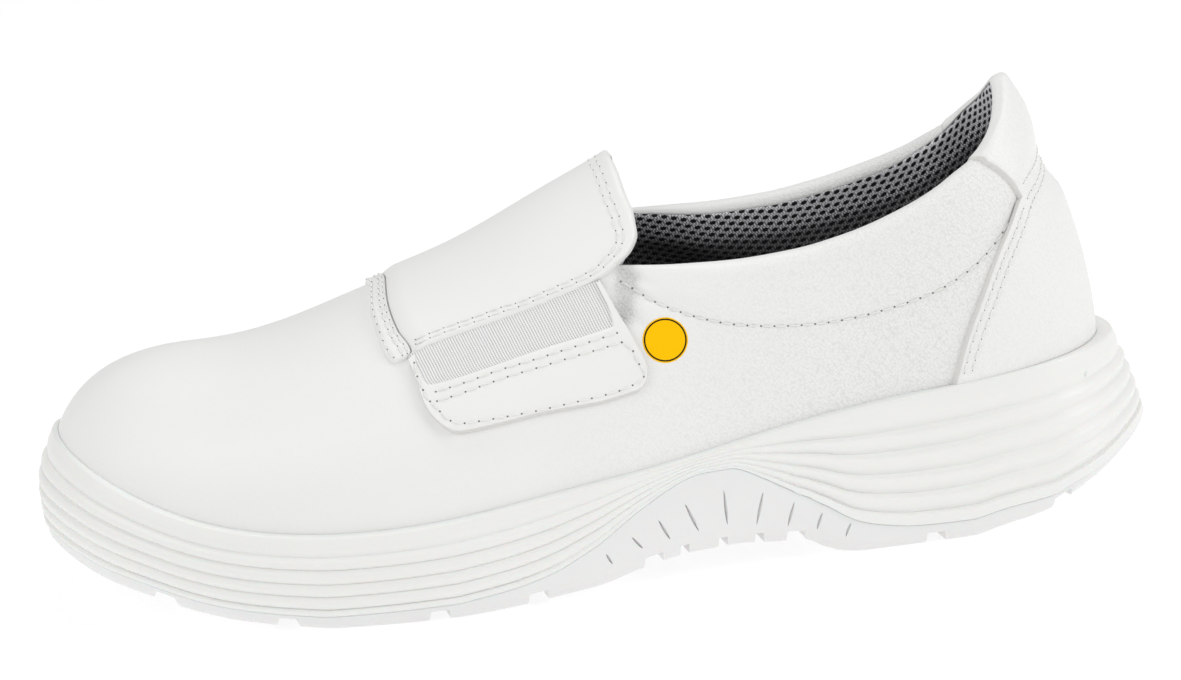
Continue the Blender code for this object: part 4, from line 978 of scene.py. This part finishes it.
def frontGrid(shape, lowIds, place, rows, startLevel, cloth):
    # closes the vamp over the crest; lateral and medial halves share the toe column and the crest
    u = np.linspace(0.0, throat, frontCount)
    lateral, medial = [lowIds[:frontCount]], [np.append(lowIds[0], lowIds[:-frontCount:-1])]
    for k in range(1, rows + 1):
        level = startLevel(u) + (2 - startLevel(u)) * k / rows
        run = throatLine(np.clip(level - 1, 0, 1)) * ease(u, 0.30, throat)
        out, inn = place(u + run, level), place(2 - u - run, level)
        if k == rows:
            ids = shape.add((out + inn) / 2, cloth(u, level))
            lateral.append(ids)
            medial.append(ids)
        else:
            ids = shape.add(out, cloth(u + run, level))
            lateral.append(ids)
            medial.append(np.append(ids[0], shape.add(inn[1:], cloth(u + run, level)[1:])))
    shape.sheet(np.array(lateral))
    shape.sheet(np.array(medial))


# this ring has a column exactly at the throat, so that the collar starts on it
frontCount = int(round(throat * ringCounts["upper"] / 2)) + 1
rearCount = ringCounts["upper"] // 2 + 2 - frontCount
halfRing = np.append(np.linspace(0.0, throat, frontCount), np.linspace(throat, 1.0, rearCount)[1:])
ring = np.append(halfRing, 2 - halfRing[-2:0:-1])
ringU = placeOf(ring)


def skinRows(s, start, end, count):      # rows of the leather between two levels, with their folds
    rows, folds = [], []
    for share in np.linspace(0.0, 1.0, count):
        level = start + (end - start) * share
        rows.append(lay(s, level, relief(s, level)))
        folds.append(foldDepth(s, level))
    return rows, folds


def makeVampAndQuarters():
    shape = Builder()
    base = planAt(ring, -wall["inset"], lambda x: seatZ(x) + gap)
    rows, folds = skinRows(ring, 0 * ring, padLine(ringU), leatherRows["low"])
    ids = shape.add(np.array([base] + rows), np.array([folds[0]] + folds))
    shape.sheet(ids, closed=True)
    frontGrid(shape, ids[-1], lambda s, level: lay(s, level, relief(s, level)), leatherRows["high"],
              padLine, foldDepth)
    shape.build("vampAndQuarters", [upperLeather], 60, "upper", "white_leather", "foldDepth")


def wrapAt(s):           # how far the leather turns over the roll, less at the heel and under the flap
    u = placeOf(s)
    return collar["wrap"] + collar["wrapMore"] * ease(u, throat, 0.75) * (1 - ease(u, 0.79, 0.87))


def makeCollar():
    shape = Builder()
    s = np.array([v for v in ring if placeOf(v) >= throat - 1e-9])
    rows, folds = skinRows(s, padLine(placeOf(s)), 1.0, collar["rows"])
    for share in np.linspace(0.0, 1.0, collar["rollRows"])[1:]:
        turn = share * wrapAt(s)
        rows.append(collarEdge(s, turn * math.pi, (relief(s, 1.0) * (1 - ease(turn, 0.0, 0.4)))[:, None]))
    for more, lift in collar["tucks"]:
        rows.append(collarEdge(s, (wrapAt(s) + more) * math.pi, lift * collar["tuck"]))
    folds += [folds[-1]] * (len(rows) - len(folds))
    shape.sheet(shape.add(np.array(rows), np.array(folds)))
    piece = shape.build("collarPad", [softLeather], 60, None, "white_leather", "foldDepth")


def makeLining():
    shape = Builder()
    rows = []
    rear = ringU >= throat
    for share in np.linspace(0.0, 1.0, lining["rollRows"])[:-1]:      # over the inner half of the roll
        start = wrapAt(ring) - collar["under"]
        turn = start + (1 - start) * share
        lift = -collar["tuck"] * (1 - ease(share, 0.0, 0.3))
        roll = collarEdge(ring, turn * math.pi, lift)
        front = inside(ring, lining["frontEnd"] + 0.001 * (1 - share) + 0 * ring)
        rows.append(np.where(rear[:, None], roll, front))
    for share in np.linspace(0.0, 1.0, lining["rows"])[:-1]:
        rows.append(inside(ring, np.where(rear, 1.0, lining["frontEnd"]) * (1 - share)))
    rows.append(plan(ring, -wall["leather"], featherZ(ring) - mm))
    rows.append(planAt(ring, -wall["inset"] - wall["leather"], lambda x: seatZ(x) + 2 * gap))
    rows = np.array(rows)
    rim = collarEdge(ring, math.pi)
    down = runOf(rows)
    cloth = np.stack([np.broadcast_to(runOf(rim), down.shape), down], -1)
    ids = shape.add(rows, cloth)
    shape.sheet(ids, closed=True)
    frontGrid(shape, ids[0], lambda s, level: inside(s, np.minimum(level, 1.999)), lining["frontRows"],
              lambda u: lining["frontStart"] + 0 * u, lambda s, level: np.zeros((len(s), 2)))
    shape.build("spacerLining", [liningMesh], 60, None, "insole_textile", "clothMm")


makeVampAndQuarters()
makeCollar()
makeLining()
print("upper is ready")


# pieces laid on the upper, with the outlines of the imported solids

laid = {"flap": 0.0018, "hem": 0.0009, "gore": 0.0008, "patch": 0.0014, "counter": 0.0012, "tab": 0.0012,
        "seam": 0.010, "hemStep": 0.0012, "rolled": 1.3 * mm, "cut": 0.9 * mm, "skived": 4.0 * mm,
        "under": -0.10 * mm, "trough": 0.16 * mm, "troughWidth": 0.55 * mm}
flapLow = [(0.358, 1.004), (0.376, 1.030), (0.393, 1.036), (0.431, 1.017), (0.469, 0.989), (0.520, 0.979),
           (0.535, 0.991), (0.548, 1.028)]
flapRear = [(0.548, 1.028), (0.560, 1.110), (0.567, 1.210), (0.567, 1.320), (0.563, 1.500), (0.560, 1.800),
            (0.558, 2.0)]
flapFront = [(0.358, 1.004), (0.362, 1.030), (0.351, 1.250), (0.342, 1.565), (0.337, 2.0)]
hemFront = [(0.347, 0.994), (0.340, 1.070), (0.332, 1.300), (0.325, 1.600), (0.322, 2.0)]
strap = columnsOf(
    "inner innerLevel outer outerLevel", [
        (0.3640, 0.996, 0.3590, 0.972), (0.3670, 0.900, 0.3650, 0.830), (0.3710, 0.820, 0.3710, 0.668),
        (0.3770, 0.786, 0.3820, 0.545), (0.3920, 0.783, 0.3960, 0.472), (0.4280, 0.777, 0.4300, 0.450),
        (0.4600, 0.765, 0.4600, 0.435), (0.4850, 0.752, 0.4900, 0.410), (0.5100, 0.738, 0.5220, 0.386),
        (0.5310, 0.728, 0.5460, 0.383), (0.5340, 0.736, 0.5570, 0.430), (0.5335, 0.780, 0.5590, 0.490),
        (0.5315, 0.840, 0.5500, 0.640), (0.5288, 0.890, 0.5410, 0.764), (0.5252, 0.962, 0.5290, 0.966),
    ])
counterFront = [(0.809, 0.005), (0.824, 0.250), (0.843, 0.440), (0.865, 0.600), (0.888, 0.690),
                (0.899, 0.720)]
counterFoot = (1.0, 0.005)
counterTop = [(0.899, 0.720), (0.915, 0.735), (0.938, 0.725), (0.959, 0.710), (1.0, 0.690)]
tabFront = [(0.903, 0.735), (0.899, 0.800), (0.893, 0.880), (0.886, 0.950), (0.880, 1.0)]
tabEdge = 0.874
girthWeight = 5.0        # weight of a step round the foot against a step of level


def trace(points):
    points = np.array(points, float)
    run = runOf(points * np.array([girthWeight, 1.0]))
    run /= run[-1]
    first, second = (curve(np.column_stack([run, points[:, k]])) for k in (0, 1))
    return lambda share: np.stack([first(share), second(share)], -1)


def fill(low, high, front, rear, a, b):          # grid between four edges
    a, b = (v[..., None] for v in np.meshgrid(a, b))
    blend = ((1 - b) * low(a[..., 0]) + b * high(a[..., 0])
             + (1 - a) * front(b[..., 0]) + a * rear(b[..., 0]))
    corners = ((1 - a) * (1 - b) * low(0.0) + a * (1 - b) * low(1.0)
               + (1 - a) * b * high(0.0) + a * b * high(1.0))
    return blend - corners


def otherSide(grid):
    return np.stack([2 - grid[..., 0], grid[..., 1]], -1)


def axesAt(line, step=1e-3):
    s, level = line[..., 0], np.clip(line[..., 1], 0.0, 1.985)
    roundWay = (lay(s + step, level) - lay(s - step, level)) / (2 * step)
    up = (lay(s, level + step) - lay(s, level - step)) / (2 * step)
    return roundWay, up, unit(np.cross(roundWay, up))


def stepOnUpper(roundWay, up, move):     # change of place and level that moves a point by a small vector
    a, b, c = (roundWay * roundWay).sum(-1), (roundWay * up).sum(-1), (up * up).sum(-1)
    p, q = (roundWay * move).sum(-1), (up * move).sum(-1)
    size = a * c - b * b
    return np.stack([(c * p - b * q) / size, (a * q - b * p) / size], -1)


def shifted(line, distance):             # line moved sideways on the upper, to the left of its run
    points = lay(line[:, 0], line[:, 1])
    roundWay, up, normal = axesAt(line)
    side = np.cross(normal, unit(np.gradient(points, axis=0)))
    return line + stepOnUpper(roundWay, up, side * np.reshape(distance, (-1, 1)))


def smoothLine(points, count=160):
    return trace(points)(np.linspace(0, 1, count))


edgeForms = {"rolled": [(0.0, 1.0), (0.08, 0.60), (0.35, 0.22), (0.65, 0.06), (1.0, 0.0)],
             "skived": [(0.0, 0.72), (0.06, 0.52), (0.30, 0.34), (0.60, 0.14), (1.0, 0.0)],
             "cut": [(0.0, 0.80), (0.78, 0.10), (1.0, 0.0)],
             "none": [(0.0, 0.0)]}


def edgePlaces(count, length, first, last):
    start = [(d * laid.get(first, 0.0) / length, drop) for d, drop in edgeForms[first]]
    end = [(1 - d * laid.get(last, 0.0) / length, drop) for d, drop in edgeForms[last][::-1]]
    middle = np.linspace(start[-1][0], end[0][0], count)[1:-1].tolist()
    places = [p for p, _ in start] + middle + [p for p, _ in end]
    drops = [d for _, d in start] + [0.0] * len(middle) + [d for _, d in end]
    bands = np.zeros(len(places) - 1, bool)
    bands[0], bands[-1] = first == "cut", last == "cut"
    return np.array(places), np.array(drops), bands


def distanceTo(points, lines):
    best = np.full(points.shape[:-1], 1.0)
    for line in lines:
        path = lay(line[:, 0], line[:, 1])
        for part in path[::2]:
            best = np.minimum(best, np.linalg.norm(points - part, axis=-1))
    return best


def laidPiece(name, half, thick, counts, edges, materials, node, slotName, mirror=None, rows=(),
              cloth=None):
    dense = np.linspace(0, 1, 40)
    middle = half(dense, np.array([0.5]))[0]
    lengthA = runOf(lay(middle[:, 0], middle[:, 1]))[-1]
    middle = half(np.array([0.5]), dense)[:, 0]
    lengthB = runOf(lay(middle[:, 0], middle[:, 1]))[-1]
    a, dropA, bandA = edgePlaces(counts[0], lengthA, edges[0], edges[1])
    b, dropB, bandB = edgePlaces(counts[1], lengthB, edges[2], edges[3])
    grid = half(a, b)
    drop = np.maximum(dropA[None, :], dropB[:, None])
    if mirror == "rows":
        grid = np.concatenate([grid, otherSide(grid[-2::-1])])
        drop = np.concatenate([drop, drop[-2::-1]])
        bandB = np.append(bandB, bandB[::-1])
    if mirror == "columns":
        grid = np.concatenate([grid, otherSide(grid[:, -2::-1])], axis=1)
        drop = np.concatenate([drop, drop[:, -2::-1]], axis=1)
        bandA = np.append(bandA, bandA[::-1])
    s, level = grid[..., 0], grid[..., 1]
    lift = laidGap + thick * (1 - drop)
    flat = lay(s, level)
    if len(rows):
        lift -= laid["trough"] * np.exp(-(distanceTo(flat, rows) / laid["troughWidth"]) ** 2)
    shape = Builder()
    top, low = lay(s, level, lift), lay(s, level, laid["under"])
    clothMap = None
    if cloth:
        across = runOf(flat, 1)
        clothMap = np.stack([across - across.mean(axis=1)[:, None], runOf(flat)], -1)
    ids, lowIds = shape.add(top, clothMap), shape.add(low, clothMap)
    for i in range(len(ids) - 1):
        for j in range(ids.shape[1] - 1):
            band = len(materials) > 1 and (bandB[i] or bandA[j])
            shape.face([ids[i, j], ids[i, j + 1], ids[i + 1, j + 1], ids[i + 1, j]], int(band))
    shape.sheet(lowIds)
    shape.rim(ids, lowIds, len(materials) - 1)
    shape.build(name, materials, 50, node, slotName, cloth=cloth)


# stitching: slightly arched threads with their ends sunk in needle holes

stitch = {"thread": 0.24 * mm, "hole": 0.25 * mm, "arch": 0.17 * mm, "fill": 0.80, "mouth": 0.07 * mm,
          "pit": 0.12 * mm, "narrow": 0.6}
stitchForm = columnsOf(          # along one thread: place, height in arches and girth
    "place height size", [
        (-1, -1.3, 0.75), (-0.72, 0.35, 0.95), (-0.3, 1, 1), (0.3, 1, 1), (0.72, 0.35, 0.95),
        (1, -1.3, 0.75),
    ])
# pitch, size of the needle holes, and how deep the row lies in its trough
seams = {"flap": (4.0 * mm, 0.8, 0.6), "hem": (3.4 * mm, 0.7, 0.5), "patch": (3.7 * mm, 1.0, 0.6),
         "counter": (2.9 * mm, 0.6, 0.6), "tab": (2.4 * mm, 0.6, 0.0)}
slanting = np.array([0.3, 0.1, 0.95])    # a direction that no seam's normal has
threads, holes = Builder(), Builder()


def sew(line, lift, pitch, hole=1.0):
    points = lay(line[:, 0], line[:, 1], lift)
    _, _, normals = axesAt(line)
    run = runOf(points)
    count = max(1, int(run[-1] / pitch))
    pitch = run[-1] / count

    def at(values, where):
        return np.stack([np.interp(where, run, values[:, k]) for k in range(3)], -1)

    for k in range(count):
        place = (k + 0.5) * pitch + stitchForm["place"] * 0.5 * stitch["fill"] * pitch
        centre, normal = at(points, place), unit(at(normals, place))
        side = np.cross(normal, unit(np.gradient(centre, axis=0)))
        height = stitchForm["height"] * stitch["arch"]
        size = stitchForm["size"] * stitch["thread"]
        core = (centre + normal * height[:, None])[:, None]
        ids = threads.loft(core + size[:, None, None] * spokes(6, side[:, None], normal[:, None]))
        threads.face(ids[0][::-1])
        threads.face(ids[-1])
    places = np.arange(count + 1) * pitch
    normals = unit(at(normals, places))
    sides = unit(np.cross(normals, slanting))
    for centre, normal, side in zip(at(points, places), normals, sides):
        circle = hole * stitch["hole"] * spokes(8, side, np.cross(normal, side))
        ids = holes.add(centre + normal * stitch["mouth"] + circle)
        lowIds = holes.add(centre - normal * stitch["pit"] + stitch["narrow"] * circle)
        holes.face(ids)
        holes.sheet(np.array([ids, lowIds]), closed=True)
        holes.face(lowIds[::-1])


def sewOn(rows, name):           # rows of stitches on a piece laid on the upper
    pitch, hole, sunk = seams[name]
    for row in rows:
        sew(row, laidGap + laid[name] - sunk * laid["trough"], pitch, hole)


def bothSides(lines):
    return list(lines) + [otherSide(line) for line in lines]


# flap over the instep; its two rows run near the low edge and further in along the rear one
flap = {"seams": ((1.5, 3.6), (2.9, 5.6)), "turn": (0.42, 0.66), "seamStart": 0.366, "seamEnd": 1.93}
flapEdge = smoothLine(flapLow + flapRear[1:], 260)
turnAway = ease(np.linspace(0, 1, len(flapEdge)), *flap["turn"])
flapRows = []
for near, far in flap["seams"]:
    row = shifted(flapEdge, (near + (far - near) * turnAway) * mm)
    flapRows.append(row[(row[:, 1] < flap["seamEnd"]) & (row[:, 0] > flap["seamStart"])])

# hem that joins flap and vamp: its rows by their share of its width, and the levels between which they run
hem = {"seams": (0.16, 0.60, 0.86), "seamStart": 1.02, "seamEnd": 1.985}
hemRear = [(u - laid["hemStep"], level) for u, level in flapFront]
frontLine, rearLine = smoothLine(hemFront), smoothLine(hemRear)
hemRows = []
for share in hem["seams"]:
    row = frontLine + (rearLine - frontLine) * share
    hemRows.append(row[(row[:, 1] > hem["seamStart"]) & (row[:, 1] < hem["seamEnd"])])

crestLow, crestHigh = trace(flapLow), trace([flapFront[-1], flapRear[-1]])
laidPiece("instepFlap", lambda a, b: fill(crestLow, crestHigh, trace(flapFront), trace(flapRear), a, b),
          laid["flap"], (72, 46), ("skived", "rolled", "rolled", "none"), [overlayLeather], "instep_flap",
          "white_leather", mirror="rows", rows=bothSides(flapRows))
sewOn(bothSides(flapRows), "flap")


def hemGrid(a, b):
    low, high = (trace([hemFront[k], hemRear[k]]) for k in (0, -1))
    return fill(low, high, trace(hemFront), trace(hemRear), a, b)


laidPiece("vampHem", hemGrid, laid["hem"], (16, 60), ("rolled", "none", "rolled", "none"),
          [overlayLeather], "vamp_hem", "white_leather", mirror="rows", rows=bothSides(hemRows))
sewOn(bothSides(hemRows), "hem")


# elastic gores and the straps that frame them; a gore runs on under strap and flap
gore = {"spread": (1.05, 1.16), "low": 3, "rear": 9}
strapPlaces = np.arange(len(strap["inner"]), dtype=float)
strapInner = [curve(np.column_stack([strapPlaces, strap[name]])) for name in ("inner", "innerLevel")]
strapOuter = [curve(np.column_stack([strapPlaces, strap[name]])) for name in ("outer", "outerLevel")]
strapRowsAt = {
    "upper": [(0.3803, 0.730), (0.4255, 0.733), (0.4719, 0.710), (0.5370, 0.684)],
    "lower": [(0.3807, 0.675), (0.4281, 0.683), (0.4726, 0.664), (0.5399, 0.633)],
    "foot": [(0.3700, 0.760), (0.3721, 0.717), (0.3769, 0.666), (0.3835, 0.604), (0.3880, 0.563),
             (0.3974, 0.521), (0.4161, 0.500), (0.4404, 0.477), (0.4639, 0.455), (0.4864, 0.441),
             (0.5087, 0.428), (0.5335, 0.419), (0.5432, 0.422), (0.5526, 0.445), (0.5557, 0.471),
             (0.5512, 0.525), (0.5490, 0.572), (0.5399, 0.633)],
    "front": [(0.3640, 0.940), (0.3665, 0.830), (0.3700, 0.760)],
}
strapRows = [smoothLine(points) for points in strapRowsAt.values()]


def strapGrid(a, b):
    where = a * strapPlaces[-1]
    outer = np.stack([line(where) for line in strapOuter], -1)
    inner = np.stack([line(where) for line in strapInner], -1)
    return outer + (inner - outer) * b[:, None, None]


def goreGrid(a, b):
    inner = np.column_stack([strap["inner"], strap["innerLevel"]])
    edge = [point for point in flapLow if inner[0][0] < point[0] < inner[-1][0]]
    high = trace([inner[0]] + [(u, level - laid["seam"]) for u, level in edge[:-1]] + [inner[-1]])
    low, rear = gore["low"], gore["rear"]
    grid = fill(trace(inner[low:rear + 1]), high, trace(inner[low::-1]), trace(inner[rear:]), a, b)
    centre = grid.mean(axis=(0, 1))
    return centre + (grid - centre) * np.array(gore["spread"])


for side in ("lateral", "medial"):
    turned = (lambda grid: grid) if side == "lateral" else otherSide
    laidPiece("gore" + side.capitalize(), lambda a, b: turned(goreGrid(a, b)), laid["gore"], (70, 24),
              ("none", "none", "none", "none"), [elasticWeave], "gore_" + side, "elastic", cloth="clothMm")
    rows = [turned(line) for line in strapRows]
    laidPiece("strap" + side.capitalize(), lambda a, b: turned(strapGrid(a, b)), laid["patch"], (110, 22),
              ("none", "none", "cut", "rolled"), [overlayLeather, edgeLeather], "patch_" + side,
              "white_leather", rows=rows)
    sewOn(rows, "patch")


# heel counter with its double row, and the tab turned over the collar
counter = {"seams": (1.9 * mm, 3.9 * mm), "levels": (0.06, 0.68), "places": (0.909, 1.0)}
counterEdge = smoothLine(counterFront)
counterCrown = smoothLine(counterTop, 120)
counterRows = []
for distance in counter["seams"]:
    for line, column, (start, end) in ((counterEdge, 1, counter["levels"]),
                                       (counterCrown, 0, counter["places"])):
        row = shifted(line, -distance)
        counterRows.append(row[(row[:, column] > start) & (row[:, column] < end)])


def counterGrid(a, b):
    return fill(trace([counterFront[0], counterFoot]), trace(counterTop), trace(counterFront),
                trace([counterFoot, counterTop[-1]]), a, b)


laidPiece("heelCounter", counterGrid, laid["counter"], (60, 56), ("cut", "none", "none", "cut"),
          [overlayLeather, edgeLeather], "heel_counter", "white_leather", mirror="columns",
          rows=bothSides(counterRows))
sewOn(bothSides(counterRows), "counter")


# the tab ends on the inner face of the roll: turns of the roll, and how the tab thins as it turns over
tab = {"halfWide": 0.13 * girth, "lap": 0.010, "wrap": 0.74, "tucks": (0.765, 0.78), "narrows": 0.4,
       "thinning": ((0.70, 0.05, 0.40), (0.30, 0.74, 0.80)), "seam": 1.6 * mm, "seamStart": 0.91}


def makeHeelTab():
    topOfCounter = curve(counterTop)
    front = curve([(level, u) for u, level in tabFront])
    share, drops, bands = edgePlaces(46, tab["halfWide"], "cut", "none")
    lift = laidGap + laid["tab"] * (1 - np.append(drops, drops[-2::-1]))
    tops, unders = [], []
    for b in np.linspace(0.0, 1.0, 26):
        start = front(tabFront[0][1] + (1 - tabFront[0][1]) * b)
        u = start + (1 - start) * share
        level = (topOfCounter(np.maximum(u, counterTop[0][0])) - tab["lap"]) * (1 - b) + b
        for lifts, rows in ((lift, tops), (np.full(lift.shape, laid["under"]), unders)):
            near, far = (lay(s, level, lifts[:len(u)]) for s in (u, 2 - u))
            rows.append(np.concatenate([near, far[-2::-1]]))
    for turn in np.append(np.linspace(0.0, tab["wrap"], 11)[1:], tab["tucks"]):
        start = tabFront[-1][0] + (tabEdge - tabFront[-1][0]) * ease(turn, 0.0, tab["narrows"])
        u = start + (1 - start) * share
        s = np.append(u, 2 - u[-2::-1])
        thin = 1 - sum(part * ease(turn, start, end) for part, start, end in tab["thinning"])
        tops.append(collarEdge(s, turn * math.pi, (lift * thin)[:, None]))
        unders.append(collarEdge(s, turn * math.pi, laid["under"]))
    shape = Builder()
    ids, lowIds = shape.add(np.array(tops)), shape.add(np.array(unders))
    bands = np.append(bands, bands[::-1])
    for j in range(ids.shape[1] - 1):
        shape.sheet(ids[:, j:j + 2], slot=int(bands[j]))
    shape.sheet(lowIds)
    shape.rim(ids, lowIds, 1)
    shape.build("heelTab", [overlayLeather, edgeLeather], 50, "heel_tab", "white_leather")


makeHeelTab()
tabSeam = shifted(counterCrown, tab["seam"])
sewOn(bothSides([tabSeam[tabSeam[:, 0] > tab["seamStart"]]]), "tab")


# seam of the padded collar
collarPlaces = np.linspace(throat + 0.001, collar["lastPlace"], 240)
for line in bothSides([np.column_stack([collarPlaces, padLine(collarPlaces)])]):
    sew(line, relief(line[:, 0], line[:, 1]) + 0.15 * collar["seamDepth"], collar["stitch"])

threads.build("stitching", [thread], 60, None, "white_leather")
holes.build("needleHoles", [needleHole], 60, None, "white_leather")


# plain round print on the quarter: yellow disc inside a thin closed dark ring
mark = {"place": (0.577, 0.630), "radius": 6.0 * mm, "ring": 0.42 * mm, "margin": 0.35 * mm,
        "film": 0.08 * mm}


def makeMark():
    centre = np.array(mark["place"])
    roundWay, _, normal = axesAt(centre)
    one = roundWay / np.linalg.norm(roundWay)
    two = np.cross(normal, one)
    start = lay(*centre)
    shape = Builder()
    ringsOf = []
    ringEdge = mark["radius"] - mark["margin"]
    radii = [mark["radius"] * share for share in (0.0, 0.25, 0.5, 0.75)]
    radii += [ringEdge - mark["ring"], ringEdge, mark["radius"]]
    for radius in radii:
        wanted = start + radius * spokes(72, one, two)
        line = np.repeat(centre[None], 72, axis=0)
        for _ in range(4):
            near = lay(line[:, 0], line[:, 1])
            roundNear, upNear, _ = axesAt(line)
            line = line + stepOnUpper(roundNear, upNear, wanted - near)
        ringsOf.append(lay(line[:, 0], line[:, 1], mark["film"] * (0.2 if radius == radii[-1] else 1.0)))
    ids = shape.add(np.array(ringsOf))
    for k in range(len(radii) - 1):
        shape.sheet(ids[k:k + 2], closed=True, slot=1 if k == 4 else 0)
    piece = shape.build("roundPrint", [signYellow, signDark], 60, None, "white_leather")
    work = bmesh.new()
    work.from_mesh(piece.data)
    bmesh.ops.remove_doubles(work, verts=work.verts, dist=1e-7)
    work.to_mesh(piece.data)
    work.free()


makeMark()
print("pieces on the upper are ready")


# camera, floor and light

photo = {"azimuth": 4.0, "elevation": 15.5, "roll": 5.50, "distance": 1.300, "target": (0.0, 0.0, 0.050),
         "focal": 4825.0, "middle": (587.5, 360.4), "width": 1181, "height": 680}


def makeCamera():
    a, e, r = (math.radians(photo[name]) for name in ("azimuth", "elevation", "roll"))
    back = Vector((-math.sin(a) * math.cos(e), -math.cos(a) * math.cos(e), math.sin(e)))
    right = Vector((math.cos(a), -math.sin(a), 0.0))
    up = back.cross(right)
    across = math.cos(r) * right - math.sin(r) * up
    rising = math.sin(r) * right + math.cos(r) * up
    data = bpy.data.cameras.new("photoCamera")
    data.sensor_fit, data.sensor_width = "HORIZONTAL", 36.0
    data.lens = photo["focal"] / photo["width"] * data.sensor_width
    data.shift_x = (photo["width"] / 2 - photo["middle"][0]) / photo["width"]
    data.shift_y = (photo["middle"][1] - photo["height"] / 2) / photo["width"]
    data.clip_start, data.clip_end = 0.01, 30.0
    camera = bpy.data.objects.new("photoCamera", data)
    place = Vector(photo["target"]) + Vector(frameShift) + back * photo["distance"]
    camera.matrix_world = Matrix([[v[k] for v in (across, rising, back, place)] for k in range(3)]
                                 + [[0, 0, 0, 1]])
    bpy.context.collection.objects.link(camera)
    bpy.context.scene.camera = camera


makeCamera()

studio = {"floor": 12.0, "floorTone": "#a0a0a0", "glow": 0.72, "sky": 0.54, "aim": (0, 0, 0.05)}
# soft round lamps: power in watts, place, width
lamps = {"leftBox": (8.0, (-1.2, -0.9, 1.1), 1.4), "rightBox": (8.4, (1.4, -0.6, 0.9), 0.9),
         "topBox": (4.8, (0.1, 0.3, 1.6), 0.6)}


def makeStudio():
    size, white = studio["floor"] / 2, (1, 1, 1, 1)
    mesh = bpy.data.meshes.new("studioFloor")
    corners = [(-size, -size, 0), (size, -size, 0), (size, size, 0), (-size, size, 0)]
    mesh.from_pydata(corners, [], [(0, 1, 2, 3)])
    # matt white paper on a light table, which glows through it
    paper, _, _ = newMaterial("studioPaperWhite", 0.95, Base_Color=toLinear(studio["floorTone"]),
                              Emission_Color=white, Emission_Strength=studio["glow"],
                              Specular_IOR_Level=0.0)
    mesh.materials.append(paper)
    floor = bpy.data.objects.new("studioFloor", mesh)
    bpy.context.collection.objects.link(floor)
    world = bpy.data.worlds.new("studioWorld")
    world.use_nodes = True
    feed(world.node_tree, world.node_tree.nodes["Background"], {"Color": white, "Strength": studio["sky"]})
    bpy.context.scene.world = world
    for name, (power, place, wide) in lamps.items():
        data = bpy.data.lights.new(name, "AREA")
        data.shape, data.size, data.energy = "DISK", wide, power
        light = bpy.data.objects.new(name, data)
        light.location = place
        light.rotation_euler = (Vector(studio["aim"]) - Vector(place)).to_track_quat("-Z", "Y").to_euler()
        bpy.context.collection.objects.link(light)
    bpy.context.scene.view_settings.view_transform = "Standard"


makeStudio()
print("camera and studio are ready")
